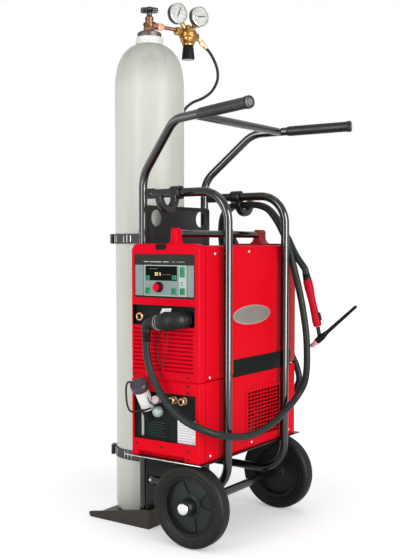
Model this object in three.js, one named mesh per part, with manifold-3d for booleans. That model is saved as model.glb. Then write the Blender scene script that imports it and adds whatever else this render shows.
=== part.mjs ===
// A gas-shielded welding set on its trolley: a power source on a water cooler, a shielding-gas
// cylinder with its regulator, and a torch with its hose pack hung over the frame.
//
// Millimetres. The origin is on the floor under the cylinder's axis. +Z is up, -Y is the
// side with the control panel, +X is the side that the operator pulls the trolley from.
import * as THREE from "three";
import { mergeVertices } from "three/addons/utils/BufferGeometryUtils.js";
import Module from "manifold-3d";

const wasm = await Module();
wasm.setup();

// ---------------------------------------------------------------- driving dimensions

const GAP = 0.3; // clearance between pieces that touch

const TUBE = { radius: 13.45, wall: 2, sides: 10 };
const SHEET = 3; // frame sheet metal

const WHEEL = { radius: 125, width: 50, x: 350, outerFace: 277.6, sides: 28 };
const POCKETS = { count: 5, inner: 38, outer: 74, depth: 4 };
const AXLE = { radius: 8, capRadius: 19, capReach: 307 };

const FRAME = { postX: 105, halfWidth: 168 };
const SHOE = { toe: -105, heel: 144, halfWidth: 195, sheet: 4, toeHeight: 18, heelHeight: 60 };
const HANDLE = {
  lowerBend: 1105, upperX: 265, upperY: 221, upperZ: 1262,
  endX: 580, endY: 309, endZ: 1274, bendRadius: 90,
};
const CROSSBAR_X = 355;
const GRIP = { radius: 16.5, length: 208, ringRadius: 18.5, ringLength: 14, endWall: 5 };
const HOOP = { aside: 24, topZ: 1050, topBend: 92, bottomBend: 90, tabLength: 34, tabThickness: 9 };
const SADDLE = { length: 18, width: 16 }; // on the axle's tube, under each hoop
const BACK_PLATE = { bottom: 172, top: 1015, halfWidth: 175, holeRadius: 26, holeY: 121, holeZ: 976 };
const TRAY = { front: -285, rear: 300, lip: 26, top: 256.7 };

const CYLINDER = {
  radius: 114.5, wall: 5.4, shoulder: 1390, domeHeight: 164.4, domePower: 2.6, neckTop: 1581.5,
  neckRadius: 46.5, neckHeight: 30, bore: 14, footHollow: 9,
};
const VALVE = {
  collarRadius: 39.5, collarHeight: 9.5, hexRadius: 22, hexHeight: 16, bodyRadius: 14.5,
  bodyHeight: 37, outletReach: 29, outletRadius: 11, outletZ: 1615,
};
const HANDWHEEL = { radius: 32, height: 11, lobes: 6, hubRadius: 9, hubHeight: 28 };

const REGULATOR_TURN = THREE.MathUtils.degToRad(71); // turn of the regulator round the valve
const REGULATOR = { reach: 157, topZ: 1632, radius: 31, bonnetZ: 1568, bonnetRadius: 20 };
const KNOB = { topRadius: 19.8, bottomRadius: 24, height: 46.5, flutes: 14, fluteDepth: 1.8 };
const GAUGE = { radius: 34, wall: 3, depth: 26, dialDepth: 6, needle: 24 };
const GAUGE_PLACES = {
  cylinder: { x: 112.2, z: 1668.8, stemX: 145 },
  outlet: { x: 201.1, z: 1670.8, stemX: 171 },
};
const GAS_OUTLET = { from: [186, 1606], to: [232.5, 1569.1], radius: 5.5, hexRadius: 9 };
const GAS_HOSE = { radius: 5, sides: 8, steps: 46 };
const GAS_INLET = { x: 210, z: 620, reach: 13, rise: 20 };

const CASE = { left: 148, width: 250, front: -280, rear: 280, wall: 2.5, corner: 12 };
const COOLER = { bottom: TRAY.top + GAP, height: 235.7 };
const POWER = { height: 402.2, coverDrop: 5.5 }; // the cover lies lower than the bezels' tops
const BEZEL = { depth: 32, wall: 4, corner: 22 };

const PANEL = { left: 161, right: 381, bottom: 738, top: 857, thickness: 4 };
const LCD = { left: 203, right: 319, bottom: 787, top: 830, depth: 1.6 };
const DIAL_KNOB = { x: 253, z: 768, radius: 16.5, height: 18, shaft: 4, flutes: 14 };
const BUTTONS = {
  left_upper: { x: 211, z: 795, width: 16, height: 13 },
  right_upper: { x: 309, z: 797, width: 16, height: 13 },
  left_lower: { x: 210, z: 756, width: 17, height: 19 },
  right_lower: { x: 307, z: 757, width: 17, height: 19 },
  column_top: { x: 338, z: 813, width: 18, height: 30 },
  column_middle: { x: 338, z: 780, width: 18, height: 15 },
  column_bottom: { x: 338, z: 757, width: 18, height: 20 },
};
const BUTTON = { proud: 2.6, body: 3.4, flange: 1.2, flangeThickness: 1 };
const SOCKETS = { left: 153, right: 381.5, bottom: 653, top: 714, recess: 14, thickness: 3 };
const CURRENT_SOCKET = { x: 174, z: 677, radius: 12, bore: 7, proud: 10 };
const LOUVRES = { bottom: 517, top: 648, count: 11, slot: 5.2, left: 154, right: 378, bars: 2 };

const TOP_HANDLE = { x: 301, z: 924.7, radius: 11, front: -260, rear: 214 };
const HANDLE_POST = { width: 22, foot: 60, top: 941, front: [-272, -246], rear: [188, 230] };

const COOLER_WINDOW = { left: 155, right: 384, bottom: 310, top: 456 };
const COOLER_SLOT = { left: 172, right: 345, height: 16 };
const COOLER_PANEL = { recess: 9, thickness: 3 };
const COUPLINGS = { x: [303, 339], z: 437, radius: 10, reach: 20 };
const FILLER = { x: 206.2, y: -266, z: 393.4, topX: 212.1, topY: -323, topZ: 478.5, radius: 20.8 };
const FILLER_CAP = { radius: 28.5, height: 24, ribs: 18 };
const GRILLE = {
  from: -28, to: 182, bottom: 277, top: 443, columns: 10, rows: 7,
  holeWidth: 14, holeHeight: 16, sheet: 1.5, border: 8,
};
const FAN = { radius: 72, hubRadius: 22, blades: 7, depth: 22, inset: 26 };

const HOSE = { radius: 11, sides: 8, steps: 78 };
const PLUG = { x: 350, z: 676, radius: 25, boot: 14, drop: 36, left: 238, y: -322 };
const HANGER = {
  x: 236, width: 36, clipWall: 6.5, hookWidth: 20, hookRadius: 28, hookWall: 20, hookY: 216, hookZ: 1036, tip: 5,
};
const TORCH = {
  ring: [476, 222, 774.7], handleEnd: [514.5, 222, 627], head: [522.5, 222, 588],
  capEnd: [650, 222, 699], nozzleEnd: [491.5, 222, 561], trigger: 14.2,
};
const STRAPS = { upper: 911, lower: 202, width: 32, thickness: 3 };
const BUCKLE = { angle: 215, length: 34, depth: 13 };

// ---------------------------------------------------------------- sizes worked out from them

const cylinderBottom = SHOE.sheet + GAP;
const axleZ = WHEEL.radius;
const tubeFlat = TUBE.radius * Math.cos(Math.PI / TUBE.sides); // from a tube's axis to its facets
const hoopBottomZ = axleZ + TUBE.radius + tubeFlat + GAP; // the hoops stand on the axle's tube
const plateX = FRAME.postX + TUBE.radius + GAP; // the back plate's face against the posts
const caseRight = CASE.left + CASE.width;
const hoopX = caseRight + HOOP.aside; // the hoops' upright runs
const coolerTop = COOLER.bottom + COOLER.height;
const powerBottom = coolerTop + GAP;
const powerTop = powerBottom + POWER.height;
const coverTop = powerTop - POWER.coverDrop;
const trayBottom = TRAY.top - SHEET;
const frontFace = CASE.front;

// ---------------------------------------------------------------- materials

const finish = (color, roughness, metalness = 0) =>
  new THREE.MeshStandardMaterial({ color, roughness, metalness, flatShading: true });
const FINISH = {
  frame: finish(0x2a2a2c, 0.3, 0.6),
  redSheet: finish(0xd5101f, 0.35),
  redPlastic: finish(0xd8101f, 0.4),
  blackPlastic: finish(0x1c1c1e, 0.5),
  rubber: finish(0x17181a, 0.8),
  cylinder: finish(0xc9cdc4, 0.5),
  brass: finish(0xb58a3c, 0.3, 1),
  bronze: finish(0x6a4c38, 0.4, 1),
  chrome: finish(0xdddddd, 0.1, 1),
  steel: finish(0x9a9c9e, 0.4, 1),
  panel: finish(0x6f7577, 0.5),
  green: finish(0x3f9a6a, 0.5),
  white: finish(0xe8e8e4, 0.5),
  grip: finish(0x1b1b1c, 0.7),
  hose: finish(0x26292a, 0.6),
  ceramic: finish(0xd98aa0, 0.5),
};

// ---------------------------------------------------------------- geometry helpers

const vec = (x, y, z) => new THREE.Vector3(x, y, z);

// A closed geometry as a solid: positions only, shared vertices merged.
function solid(geometry) {
  const bare = new THREE.BufferGeometry();
  const loose = geometry.index ? geometry.toNonIndexed() : geometry;
  bare.setAttribute("position", loose.getAttribute("position"));
  const merged = mergeVertices(bare, 1e-4);
  const made = new wasm.Manifold(
    new wasm.Mesh({
      numProp: 3,
      vertProperties: merged.attributes.position.array,
      triVerts: new Uint32Array(merged.index.array),
    }),
  );
  if (made.volume() <= 0) throw new Error("a solid is inside out");
  return made;
}

const join = (...parts) => parts.flat().reduce((whole, part) => whole.add(part));
const cut = (body, ...tools) => tools.flat().reduce((rest, tool) => rest.subtract(tool), body);
const largest = (body) =>
  body.decompose().reduce((best, piece) => (piece.volume() > best.volume() ? piece : best));

function mesh(name, body, material) {
  const { vertProperties, triVerts } = body.getMesh();
  const indexed = new THREE.BufferGeometry();
  indexed.setAttribute("position", new THREE.BufferAttribute(vertProperties, 3));
  indexed.setIndex(new THREE.BufferAttribute(triVerts, 1));
  const geometry = indexed.toNonIndexed();
  geometry.computeVertexNormals();
  const made = new THREE.Mesh(geometry, material);
  made.name = name;
  return made;
}

const box = (x0, x1, y0, y1, z0, z1) =>
  solid(
    new THREE.BoxGeometry(x1 - x0, y1 - y0, z1 - z0)
      .translate((x0 + x1) / 2, (y0 + y1) / 2, (z0 + z1) / 2),
  );

// Extrusions of a flat outline along each axis. The outline's first axis is named first.
const extrude = (shape, depth) =>
  new THREE.ExtrudeGeometry(shape, { depth, bevelEnabled: false, curveSegments: 2 });
const alongZ = (shape, z0, z1) => solid(extrude(shape, z1 - z0).translate(0, 0, z0));
const alongY = (shape, y0, y1) =>
  solid(extrude(shape, y1 - y0).rotateX(Math.PI / 2).translate(0, y1, 0)); // outline in X, Z
const yzToX = new THREE.Matrix4().makeBasis(vec(0, 1, 0), vec(0, 0, 1), vec(1, 0, 0));
const alongX = (shape, x0, x1) =>
  solid(extrude(shape, x1 - x0).applyMatrix4(yzToX).translate(x0, 0, 0)); // outline in Y, Z

const outline = (points) => new THREE.Shape(points.map(([a, b]) => new THREE.Vector2(a, b)));

function ringPoints(radius, sides, at = [0, 0], turn = 0) {
  return Array.from({ length: sides }, (_, i) => {
    const angle = turn + (2 * Math.PI * i) / sides;
    return new THREE.Vector2(at[0] + radius * Math.cos(angle), at[1] + radius * Math.sin(angle));
  });
}

const disc = (radius, sides, at, turn) => new THREE.Shape(ringPoints(radius, sides, at, turn));

function annulus(radius, bore, sides, at, turn) {
  const shape = disc(radius, sides, at, turn);
  shape.holes.push(new THREE.Path(ringPoints(bore, sides, at, turn)));
  return shape;
}

function roundedRect(a0, a1, b0, b1, radius) {
  const shape = new THREE.Shape();
  shape.moveTo(a0 + radius, b0);
  shape.lineTo(a1 - radius, b0);
  shape.absarc(a1 - radius, b0 + radius, radius, -Math.PI / 2, 0);
  shape.absarc(a1 - radius, b1 - radius, radius, 0, Math.PI / 2);
  shape.absarc(a0 + radius, b1 - radius, radius, Math.PI / 2, Math.PI);
  shape.absarc(a0 + radius, b0 + radius, radius, Math.PI, 1.5 * Math.PI);
  return shape;
}

// The radius of a bore with flat facets that clears a round of this radius.
const clearBore = (radius, sides) => (radius + GAP) / Math.cos(Math.PI / sides);

// A profile of [radius, height] points turned about +Z, in either direction of travel.
function turned(profile, sides) {
  const points = profile.map(([r, h]) => new THREE.Vector2(r, h));
  const closed = profile[0][0] > 0 ? [...points, points[0].clone()] : points;
  if (THREE.ShapeUtils.area(points) < 0) closed.reverse();
  return solid(new THREE.LatheGeometry(closed, sides).rotateX(Math.PI / 2));
}

// Moves a solid made along +Z from the origin so that it runs from one point to another.
function aim(body, from, to) {
  const turn = new THREE.Quaternion().setFromUnitVectors(vec(0, 0, 1), to.clone().sub(from).normalize());
  return body.transform(new THREE.Matrix4().compose(from, turn, vec(1, 1, 1)).elements);
}

const rodBetween = (from, to, radius, sides) =>
  aim(alongZ(disc(radius, sides), 0, from.distanceTo(to)), from, to);

// A closed skin over rings that have the same number of points each.
function loft(rings) {
  const count = rings[0].length;
  const positions = rings.flat();
  const faces = [];
  for (let i = 0; i + 1 < rings.length; i++)
    for (let j = 0; j < count; j++) {
      const [a, b] = [i * count + j, i * count + ((j + 1) % count)];
      faces.push(a, b, b + count, a, b + count, a + count);
    }
  for (const [ring, flip] of [[0, true], [rings.length - 1, false]]) {
    const centre = positions.push(average(rings[ring])) - 1;
    for (let j = 0; j < count; j++) {
      const [a, b] = [ring * count + j, ring * count + ((j + 1) % count)];
      faces.push(centre, ...(flip ? [b, a] : [a, b]));
    }
  }
  const geometry = new THREE.BufferGeometry().setFromPoints(positions);
  geometry.setIndex(faces);
  return solid(geometry);
}

const average = (points) =>
  points.reduce((sum, p) => sum.add(p), vec(0, 0, 0)).divideScalar(points.length);

// A round bar whose radius changes along a smooth curve.
function taperedBar(points, radii, sides, steps) {
  const curve = new THREE.CatmullRomCurve3(points);
  const { normals, binormals } = curve.computeFrenetFrames(steps, false);
  const rings = curve.getSpacedPoints(steps).map((centre, i) => {
    const place = (i / steps) * (radii.length - 1);
    const low = Math.min(Math.floor(place), radii.length - 2);
    const radius = THREE.MathUtils.lerp(radii[low], radii[low + 1], place - low);
    return ringPoints(radius, sides).map(({ x, y }) =>
      centre.clone().addScaledVector(normals[i], x).addScaledVector(binormals[i], y));
  });
  return loft(rings);
}

// A tube's centre line: straights joined by bends, with a station at each end of a straight
// and one every BEND_STEP round a bend.
const BEND_STEP = THREE.MathUtils.degToRad(18);

class TubeLine extends THREE.Curve {
  constructor(corners, bendRadii) {
    super();
    this.stations = [];
    corners.forEach((corner, i) => {
      if (i === 0 || i === corners.length - 1) {
        const [from, to] = i === 0 ? [corners[0], corners[1]] : [corners[i - 1], corner];
        this.stations.push({ point: corner, tangent: to.clone().sub(from).normalize() });
        return;
      }
      const before = corner.clone().sub(corners[i - 1]).normalize();
      const after = corners[i + 1].clone().sub(corner).normalize();
      this.addBend(corner, before, after, bendRadii[i - 1]);
    });
  }
  addBend(corner, before, after, radius) {
    const angle = before.angleTo(after);
    const start = corner.clone().addScaledVector(before, -radius * Math.tan(angle / 2));
    const inward = after.clone().addScaledVector(before, -Math.cos(angle)).normalize();
    const steps = Math.ceil(angle / BEND_STEP);
    for (let k = 0; k <= steps; k++) {
      const turn = (angle * k) / steps;
      const point = start.clone()
        .addScaledVector(before, radius * Math.sin(turn))
        .addScaledVector(inward, radius * (1 - Math.cos(turn)));
      const tangent = before.clone().multiplyScalar(Math.cos(turn))
        .addScaledVector(inward, Math.sin(turn));
      this.stations.push({ point, tangent });
    }
  }
  getSpacedPoints() {
    return this.stations.map(({ point }) => point.clone());
  }
  getTangentAt(u) {
    return this.stations[Math.round(u * (this.stations.length - 1))].tangent.clone();
  }
}

function bentBar(corners, bendRadii, shape) {
  const extrudePath = new TubeLine(corners, bendRadii);
  return solid(
    new THREE.ExtrudeGeometry(shape, { extrudePath, steps: extrudePath.stations.length - 1 }),
  );
}

const tubeSection = () =>
  annulus(TUBE.radius, TUBE.radius - TUBE.wall, TUBE.sides, [0, 0], Math.PI / TUBE.sides);

// A free hose along a smooth route.
function hoseAlong(route, { radius, sides, steps }) {
  const extrudePath = new THREE.CatmullRomCurve3(route.map((p) => vec(...p)), false, "centripetal");
  return solid(new THREE.ExtrudeGeometry(disc(radius, sides), { extrudePath, steps }));
}

const mirrorY = (body) => body.mirror([0, 1, 0]);
const SIDES = { front: mirrorY, rear: (body) => body }; // pieces are made on the rear side

const root = new THREE.Group();
const add = (name, body, material, group = root) => group.add(mesh(name, body, material));
const addPair = (name, body, material) => {
  for (const [side, place] of Object.entries(SIDES)) add(`${name}_${side}`, place(body), material);
};

// ---------------------------------------------------------------- trolley frame

// One folded sheet: a floor plate, two wedge flanges and an upstand behind the cylinder.
function baseShoe() {
  const { toe, heel, halfWidth, sheet, toeHeight, heelHeight } = SHOE;
  const flange = new THREE.Shape();
  flange.moveTo(toe + 6, 0);
  flange.lineTo(heel, 0);
  flange.lineTo(heel, heelHeight);
  flange.lineTo(heel - 16, heelHeight);
  flange.lineTo(toe + 8, toeHeight);
  flange.absarc(toe + 8, toeHeight - 8, 8, Math.PI / 2, Math.PI);
  const plate = box(toe + 4, heel, -halfWidth + 1, halfWidth - 1, 0, sheet);
  const flanges = [-halfWidth, halfWidth - sheet].map((y) => alongY(flange, y, y + sheet));
  const upstand = box(heel - sheet, heel, -halfWidth + 1, halfWidth - 1, 1, heelHeight);
  const { halfWidth: reach, bottom } = BACK_PLATE;
  const riser = box(plateX, plateX + SHEET, -reach, reach, 1, bottom - GAP);
  return join(plate, flanges, upstand, riser);
}

const handleCorners = () => [
  vec(FRAME.postX, FRAME.halfWidth, SHOE.sheet + GAP),
  vec(FRAME.postX, FRAME.halfWidth, HANDLE.lowerBend),
  vec(HANDLE.upperX, HANDLE.upperY, HANDLE.upperZ),
  vec(HANDLE.endX, HANDLE.endY, HANDLE.endZ),
];

const handleBends = [HANDLE.bendRadius, HANDLE.bendRadius];

// A post that rises from the shoe, leans out and becomes the push handle.
const post = () => bentBar(handleCorners(), handleBends, tubeSection());

// The bar between the handles, coped to fit round them.
function crossbar() {
  const along = (CROSSBAR_X - HANDLE.upperX) / (HANDLE.endX - HANDLE.upperX);
  const y = THREE.MathUtils.lerp(HANDLE.upperY, HANDLE.endY, along);
  const z = THREE.MathUtils.lerp(HANDLE.upperZ, HANDLE.endZ, along);
  const bar = rodBetween(vec(CROSSBAR_X, -y, z), vec(CROSSBAR_X, y, z), TUBE.radius - 1, TUBE.sides);
  const handle = bentBar(handleCorners(), handleBends, disc(clearBore(TUBE.radius, TUBE.sides), TUBE.sides));
  return largest(cut(bar, handle, mirrorY(handle)));
}

// A rubber sleeve over the handle's end, closed by a cap with a raised ring.
function grip() {
  const [, , bend, end] = handleCorners();
  const back = end.clone().sub(bend).normalize();
  const { radius, length, ringRadius, ringLength, endWall } = GRIP;
  const sides = 14;
  const bore = clearBore(TUBE.radius, sides) + 0.1;
  const tip = length + GAP + endWall;
  const sleeve = turned(
    [[bore, 0], [radius, 0], [radius, tip - ringLength - 4], [ringRadius, tip - ringLength],
      [ringRadius, tip - 3], [ringRadius - 3, tip], [0, tip], [0, length + GAP], [bore, length + GAP]],
    sides,
  );
  return aim(sleeve, end.clone().addScaledVector(back, -length), end);
}

// A tube end pressed flat, with the bolt that holds it to its post.
function flatTab(z) {
  const { tabLength, tabThickness } = HOOP;
  const x = plateX + tabLength;
  const y = FRAME.halfWidth - tabThickness / 2;
  const plate = box(plateX, x, y, y + tabThickness, z - TUBE.radius - 3, z + TUBE.radius + 3);
  const neck = rodBetween(
    vec(x - 4, FRAME.halfWidth, z), vec(x + 8, FRAME.halfWidth, z), TUBE.radius - 0.5, TUBE.sides);
  const bolt = rodBetween(
    vec(plateX + 12, y - 5, z), vec(plateX + 12, y + tabThickness + 6, z), 6.5, 6);
  return join(plate, neck, bolt);
}

// A bar of any section along the line that a hoop is bent to.
function alongHoop(section) {
  const [start, y] = [plateX + HOOP.tabLength, FRAME.halfWidth];
  const corners = [[start, HOOP.topZ], [hoopX, HOOP.topZ], [hoopX, hoopBottomZ], [start, hoopBottomZ]];
  return bentBar(corners.map(([x, z]) => vec(x, y, z)), [HOOP.topBend, HOOP.bottomBend], section);
}

function hoop() {
  const start = plateX + HOOP.tabLength;
  const y = FRAME.halfWidth;
  const tube = alongHoop(tubeSection());
  const topTab = flatTab(HOOP.topZ);
  const foot = box(plateX + SHEET + GAP, start + 3, y - TUBE.wall, y + TUBE.wall, hoopBottomZ - 12, hoopBottomZ + 12);
  return join(tube, topTab, foot);
}

function backPlate() {
  const { bottom, top, halfWidth, holeRadius, holeY, holeZ } = BACK_PLATE;
  const shape = roundedRect(-halfWidth, halfWidth, bottom, top, 12);
  for (const side of [-1, 1])
    shape.holes.push(new THREE.Path(ringPoints(holeRadius, 20, [side * holeY, holeZ])));
  return alongX(shape, plateX, plateX + SHEET);
}

// The sheet that the cooler stands on, folded down along the back plate.
function tray() {
  const left = plateX + SHEET + GAP;
  const right = hoopX - TUBE.radius - GAP;
  const sheet = box(left, right, TRAY.front, TRAY.rear, trayBottom, TRAY.top);
  const betweenWheels = wheelInnerFace() - 4;
  const lip = box(left, left + SHEET, -betweenWheels, betweenWheels, TRAY.top - TRAY.lip, trayBottom + 1);
  return join(sheet, lip);
}

// The tube round the axle, with a saddle under each hoop where its bend begins.
function axleTube() {
  const tube = alongY(
    annulus(TUBE.radius, clearBore(AXLE.radius, TUBE.sides), TUBE.sides, [WHEEL.x, axleZ], Math.PI / 2),
    -wheelInnerFace() + GAP, wheelInnerFace() - GAP);
  const { length, width } = SADDLE;
  const block = box(WHEEL.x - length / 2, WHEEL.x + length / 2, FRAME.halfWidth - width / 2,
    FRAME.halfWidth + width / 2, axleZ + TUBE.radius - 3, hoopBottomZ - 4);
  const hoopRoom = alongHoop(disc(clearBore(TUBE.radius, TUBE.sides), TUBE.sides, [0, 0], Math.PI / TUBE.sides));
  const saddle = largest(cut(block, hoopRoom));
  return join(tube, saddle, mirrorY(saddle));
}

const wheelInnerFace = () => WHEEL.outerFace - WHEEL.width - 8;

// The axle, with a domed cap pressed on each end.
function axleRod() {
  const capInner = WHEEL.outerFace + 12 + GAP;
  const { radius, capRadius, capReach } = AXLE;
  const dome = Array.from({ length: 5 }, (_, i) => {
    const angle = (i / 4) * (Math.PI / 2);
    return [capRadius * Math.cos(angle), capReach - 13 + 13 * Math.sin(angle)];
  });
  dome[4][0] = 0;
  const half = [[capRadius, capInner], ...dome];
  const profile = [[0, -capReach], ...half.slice(0, -1).map(([r, h]) => [r, -h]).reverse(),
    [radius, -capInner], [radius, capInner], ...half];
  return turned(profile, 12).rotate([90, 0, 0]).translate([WHEEL.x, 0, axleZ]);
}

// ---------------------------------------------------------------- wheels

const wheelCentre = WHEEL.outerFace - WHEEL.width / 2;
const placeWheel = (body) => body.rotate([-90, 0, 0]).translate([WHEEL.x, wheelCentre, axleZ]);
const rimRadius = 86;

function tyre() {
  const half = WHEEL.width / 2;
  const R = WHEEL.radius;
  const side = [[rimRadius + GAP, half - 6], [rimRadius + 7, half - 2.5], [R - 22, half],
    [R - 8, half - 1], [R, half - 9]];
  const profile = [...side, ...side.map(([r, h]) => [r, -h]).reverse()];
  return placeWheel(turned(profile, WHEEL.sides));
}

// A moulded rim: barrel, closed web with a shallow pocket between each two spokes, and a long hub.
function rim() {
  const half = WHEEL.width / 2 - 6;
  const barrel = turned([[rimRadius - 6, -half], [rimRadius, -half], [rimRadius, half], [rimRadius - 6, half]], WHEEL.sides);
  const hubBore = clearBore(AXLE.radius, 12);
  const hub = turned(
    [[hubBore, -WHEEL.width / 2 - 8], [20, -WHEEL.width / 2 - 8], [30, 0],
      [22, WHEEL.width / 2 + 12], [hubBore, WHEEL.width / 2 + 12]], 12);
  const web = disc(rimRadius - 3, WHEEL.sides);
  web.holes.push(new THREE.Path(ringPoints(hubBore, 12)));
  const { count, inner, outer, depth } = POCKETS;
  const pockets = Array.from({ length: count }, (_, i) => {
    const middle = (2 * Math.PI * (i + 0.25)) / count;
    const arc = (radius, spread, sign) => Array.from({ length: 4 }, (_, k) => {
      const angle = middle + sign * spread * (k / 3 - 0.5);
      return [radius * Math.cos(angle), radius * Math.sin(angle)];
    });
    return alongZ(outline([...arc(outer, 0.72, 1), ...arc(inner, 0.44, -1)]), 5 - depth, 6);
  });
  return placeWheel(join(barrel, hub, cut(alongZ(web, -4, 5), pockets)));
}

// ---------------------------------------------------------------- straps and hangers

// A band round the cylinder, with its two ends fastened to the back plate.
function strap(z) {
  const { width, thickness } = STRAPS;
  const inner = CYLINDER.radius + 0.6;
  const arc = (radius, sign) => Array.from({ length: 17 }, (_, i) => {
    const angle = Math.PI + sign * Math.PI * (i / 16 - 0.5);
    return [radius * Math.cos(angle), radius * Math.sin(angle)];
  });
  const end = plateX - GAP;
  const band = outline([[end, inner + thickness], ...arc(inner + thickness, 1), [end, -inner - thickness],
    [end, -inner], ...arc(inner, -1), [end, inner]]);
  const foot = [-1, 1].map((side) => {
    const y = side * (inner + thickness / 2 + 7);
    return box(end - 3, end, y - 8, y + 8, z - width / 2, z + width / 2);
  });
  return join(alongZ(band, z - width / 2, z + width / 2), foot);
}

// The over-centre lever that tightens a strap.
function buckle(z) {
  const { angle, length, depth } = BUCKLE;
  const inner = CYLINDER.radius + 0.6 + STRAPS.thickness + GAP + 0.6;
  const half = STRAPS.width / 2;
  const body = roundedRect(inner, inner + depth, -length / 2, length / 2, 4);
  const slot = roundedRect(inner + 4, inner + depth - 3.5, -length / 2 + 9, length / 2 - 4, 1);
  const grooves = [-6, 2, 10].map((y) => box(inner + depth - 1.5, inner + depth + 1, y - 1.5, y + 1.5, -half, half));
  const lever = cut(alongZ(body, -half, half), alongZ(slot, -half - 1, half + 1), grooves);
  return lever.rotate([0, 0, angle]).translate([0, 0, z]);
}

// A clip round the hoop's top tube, with an open hook outside it for the hose pack.
function hanger() {
  const { x, width, clipWall, hookWidth, hookRadius, hookWall, hookY, hookZ, tip } = HANGER;
  const bore = clearBore(TUBE.radius, TUBE.sides);
  const y = FRAME.halfWidth;
  const clip = alongX(annulus(bore + clipWall, bore, TUBE.sides, [y, HOOP.topZ], 0), x - width / 2, x + width / 2);
  const arc = (radius, from, to) => Array.from({ length: 11 }, (_, i) => {
    const angle = THREE.MathUtils.lerp(from, to, i / 10);
    return [hookY + radius * Math.cos(angle), hookZ + radius * Math.sin(angle)];
  });
  const outer = hookRadius + hookWall;
  const hook = outline([...arc(outer, Math.PI, 2 * Math.PI), [hookY + outer - 2, hookZ + tip],
    [hookY + hookRadius + 2, hookZ + tip], ...arc(hookRadius, 2 * Math.PI, Math.PI),
    [hookY - hookRadius, hookZ + 9], [hookY - outer, hookZ + 9]]);
  const tube = alongX(disc(bore, TUBE.sides, [y, HOOP.topZ]), x - width, x + width);
  const bar = cut(alongX(hook, x - hookWidth / 2, x + hookWidth / 2), tube);
  const screw = rodBetween(vec(x, y - bore - clipWall - 4, HOOP.topZ), vec(x, y - bore - 1, HOOP.topZ), 6, 6);
  return join(clip, bar, screw);
}

// ---------------------------------------------------------------- gas cylinder and valve

function gasCylinder() {
  const { radius, wall, shoulder, domeHeight, domePower, neckTop, neckRadius, neckHeight, bore, footHollow } = CYLINDER;
  const base = cylinderBottom;
  const dome = (r, height, fromRadius, domeSteps) => {
    const last = Math.acos((fromRadius / r) ** (domePower / 2));
    return Array.from({ length: domeSteps + 1 }, (_, i) => {
      const angle = (last * i) / domeSteps;
      return [r * Math.cos(angle) ** (2 / domePower), shoulder + height * Math.sin(angle) ** (2 / domePower)];
    });
  };
  const neckBottom = neckTop - neckHeight;
  const outer = [[0, base + footHollow], [radius * 0.6, base + footHollow * 0.6], [radius - 22, base],
    [radius - 8, base + 4], [radius, base + 18], ...dome(radius, domeHeight, neckRadius - 2, 7),
    [neckRadius - 2, neckBottom + 2], [neckRadius, neckBottom + 4], [neckRadius, neckTop - 3], [neckRadius - 3, neckTop]];
  const inside = dome(radius - wall, domeHeight - wall, bore, 5).reverse();
  const profile = [...outer, [bore, neckTop], ...inside, [radius - wall, base + 26],
    [radius - 24, base + 8 + wall], [0, base + footHollow + wall + 3]];
  return turned(profile, 32);
}

// The valve: threaded stem in the neck, collar, hexagon, body and side outlet.
function valveBody() {
  const v = VALVE;
  const seat = CYLINDER.neckTop + GAP;
  const hexZ = seat + v.collarHeight;
  const bodyZ = hexZ + v.hexHeight;
  const stem = CYLINDER.bore - 1;
  const collar = turned([[0, seat - 30], [stem, seat - 30], [stem, seat], [v.collarRadius, seat],
    [v.collarRadius, seat + 6], [v.collarRadius - 8, hexZ], [0, hexZ]], 24);
  const hex = alongZ(disc(v.hexRadius, 6), hexZ - 1, bodyZ);
  const body = turned([[0, bodyZ - 1], [v.bodyRadius, bodyZ - 1], [v.bodyRadius, bodyZ + v.bodyHeight - 5],
    [v.bodyRadius - 4, bodyZ + v.bodyHeight], [0, bodyZ + v.bodyHeight]], 16);
  const outlet = rodBetween(vec(0, 0, v.outletZ), vec(v.outletReach, 0, v.outletZ), v.outletRadius, 16);
  const shoulder = rodBetween(vec(0, 0, v.outletZ), vec(v.outletReach - 8, 0, v.outletZ), v.outletRadius + 2.5, 16);
  const relief = rodBetween(vec(-v.bodyRadius - 6, 0, v.outletZ), vec(0, 0, v.outletZ), 7, 8);
  return join(collar, hex, body, outlet, shoulder, relief);
}

const valveTop = CYLINDER.neckTop + GAP + VALVE.collarHeight + VALVE.hexHeight + VALVE.bodyHeight;

// A lobed hand wheel with an opening in each lobe.
function handwheel() {
  const { radius, height, lobes, hubRadius, hubHeight } = HANDWHEEL;
  const bottom = valveTop + GAP;
  const wheelZ = bottom + 13;
  const rim = outline(Array.from({ length: lobes * 6 }, (_, i) => {
    const angle = (2 * Math.PI * i) / (lobes * 6);
    const reach = radius - 3.5 + 3.5 * Math.cos(lobes * angle);
    return [reach * Math.cos(angle), reach * Math.sin(angle)];
  }));
  for (let i = 0; i < lobes; i++) {
    const angle = (2 * Math.PI * i) / lobes;
    rim.holes.push(new THREE.Path(ringPoints(6.2, 6, [20 * Math.cos(angle), 20 * Math.sin(angle)])));
  }
  const hub = turned([[0, bottom], [hubRadius, bottom], [hubRadius, bottom + hubHeight - 4],
    [hubRadius - 4, bottom + hubHeight], [0, bottom + hubHeight]], 12);
  return join(alongZ(rim, wheelZ, wheelZ + height), hub);
}

// ---------------------------------------------------------------- regulator

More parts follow.
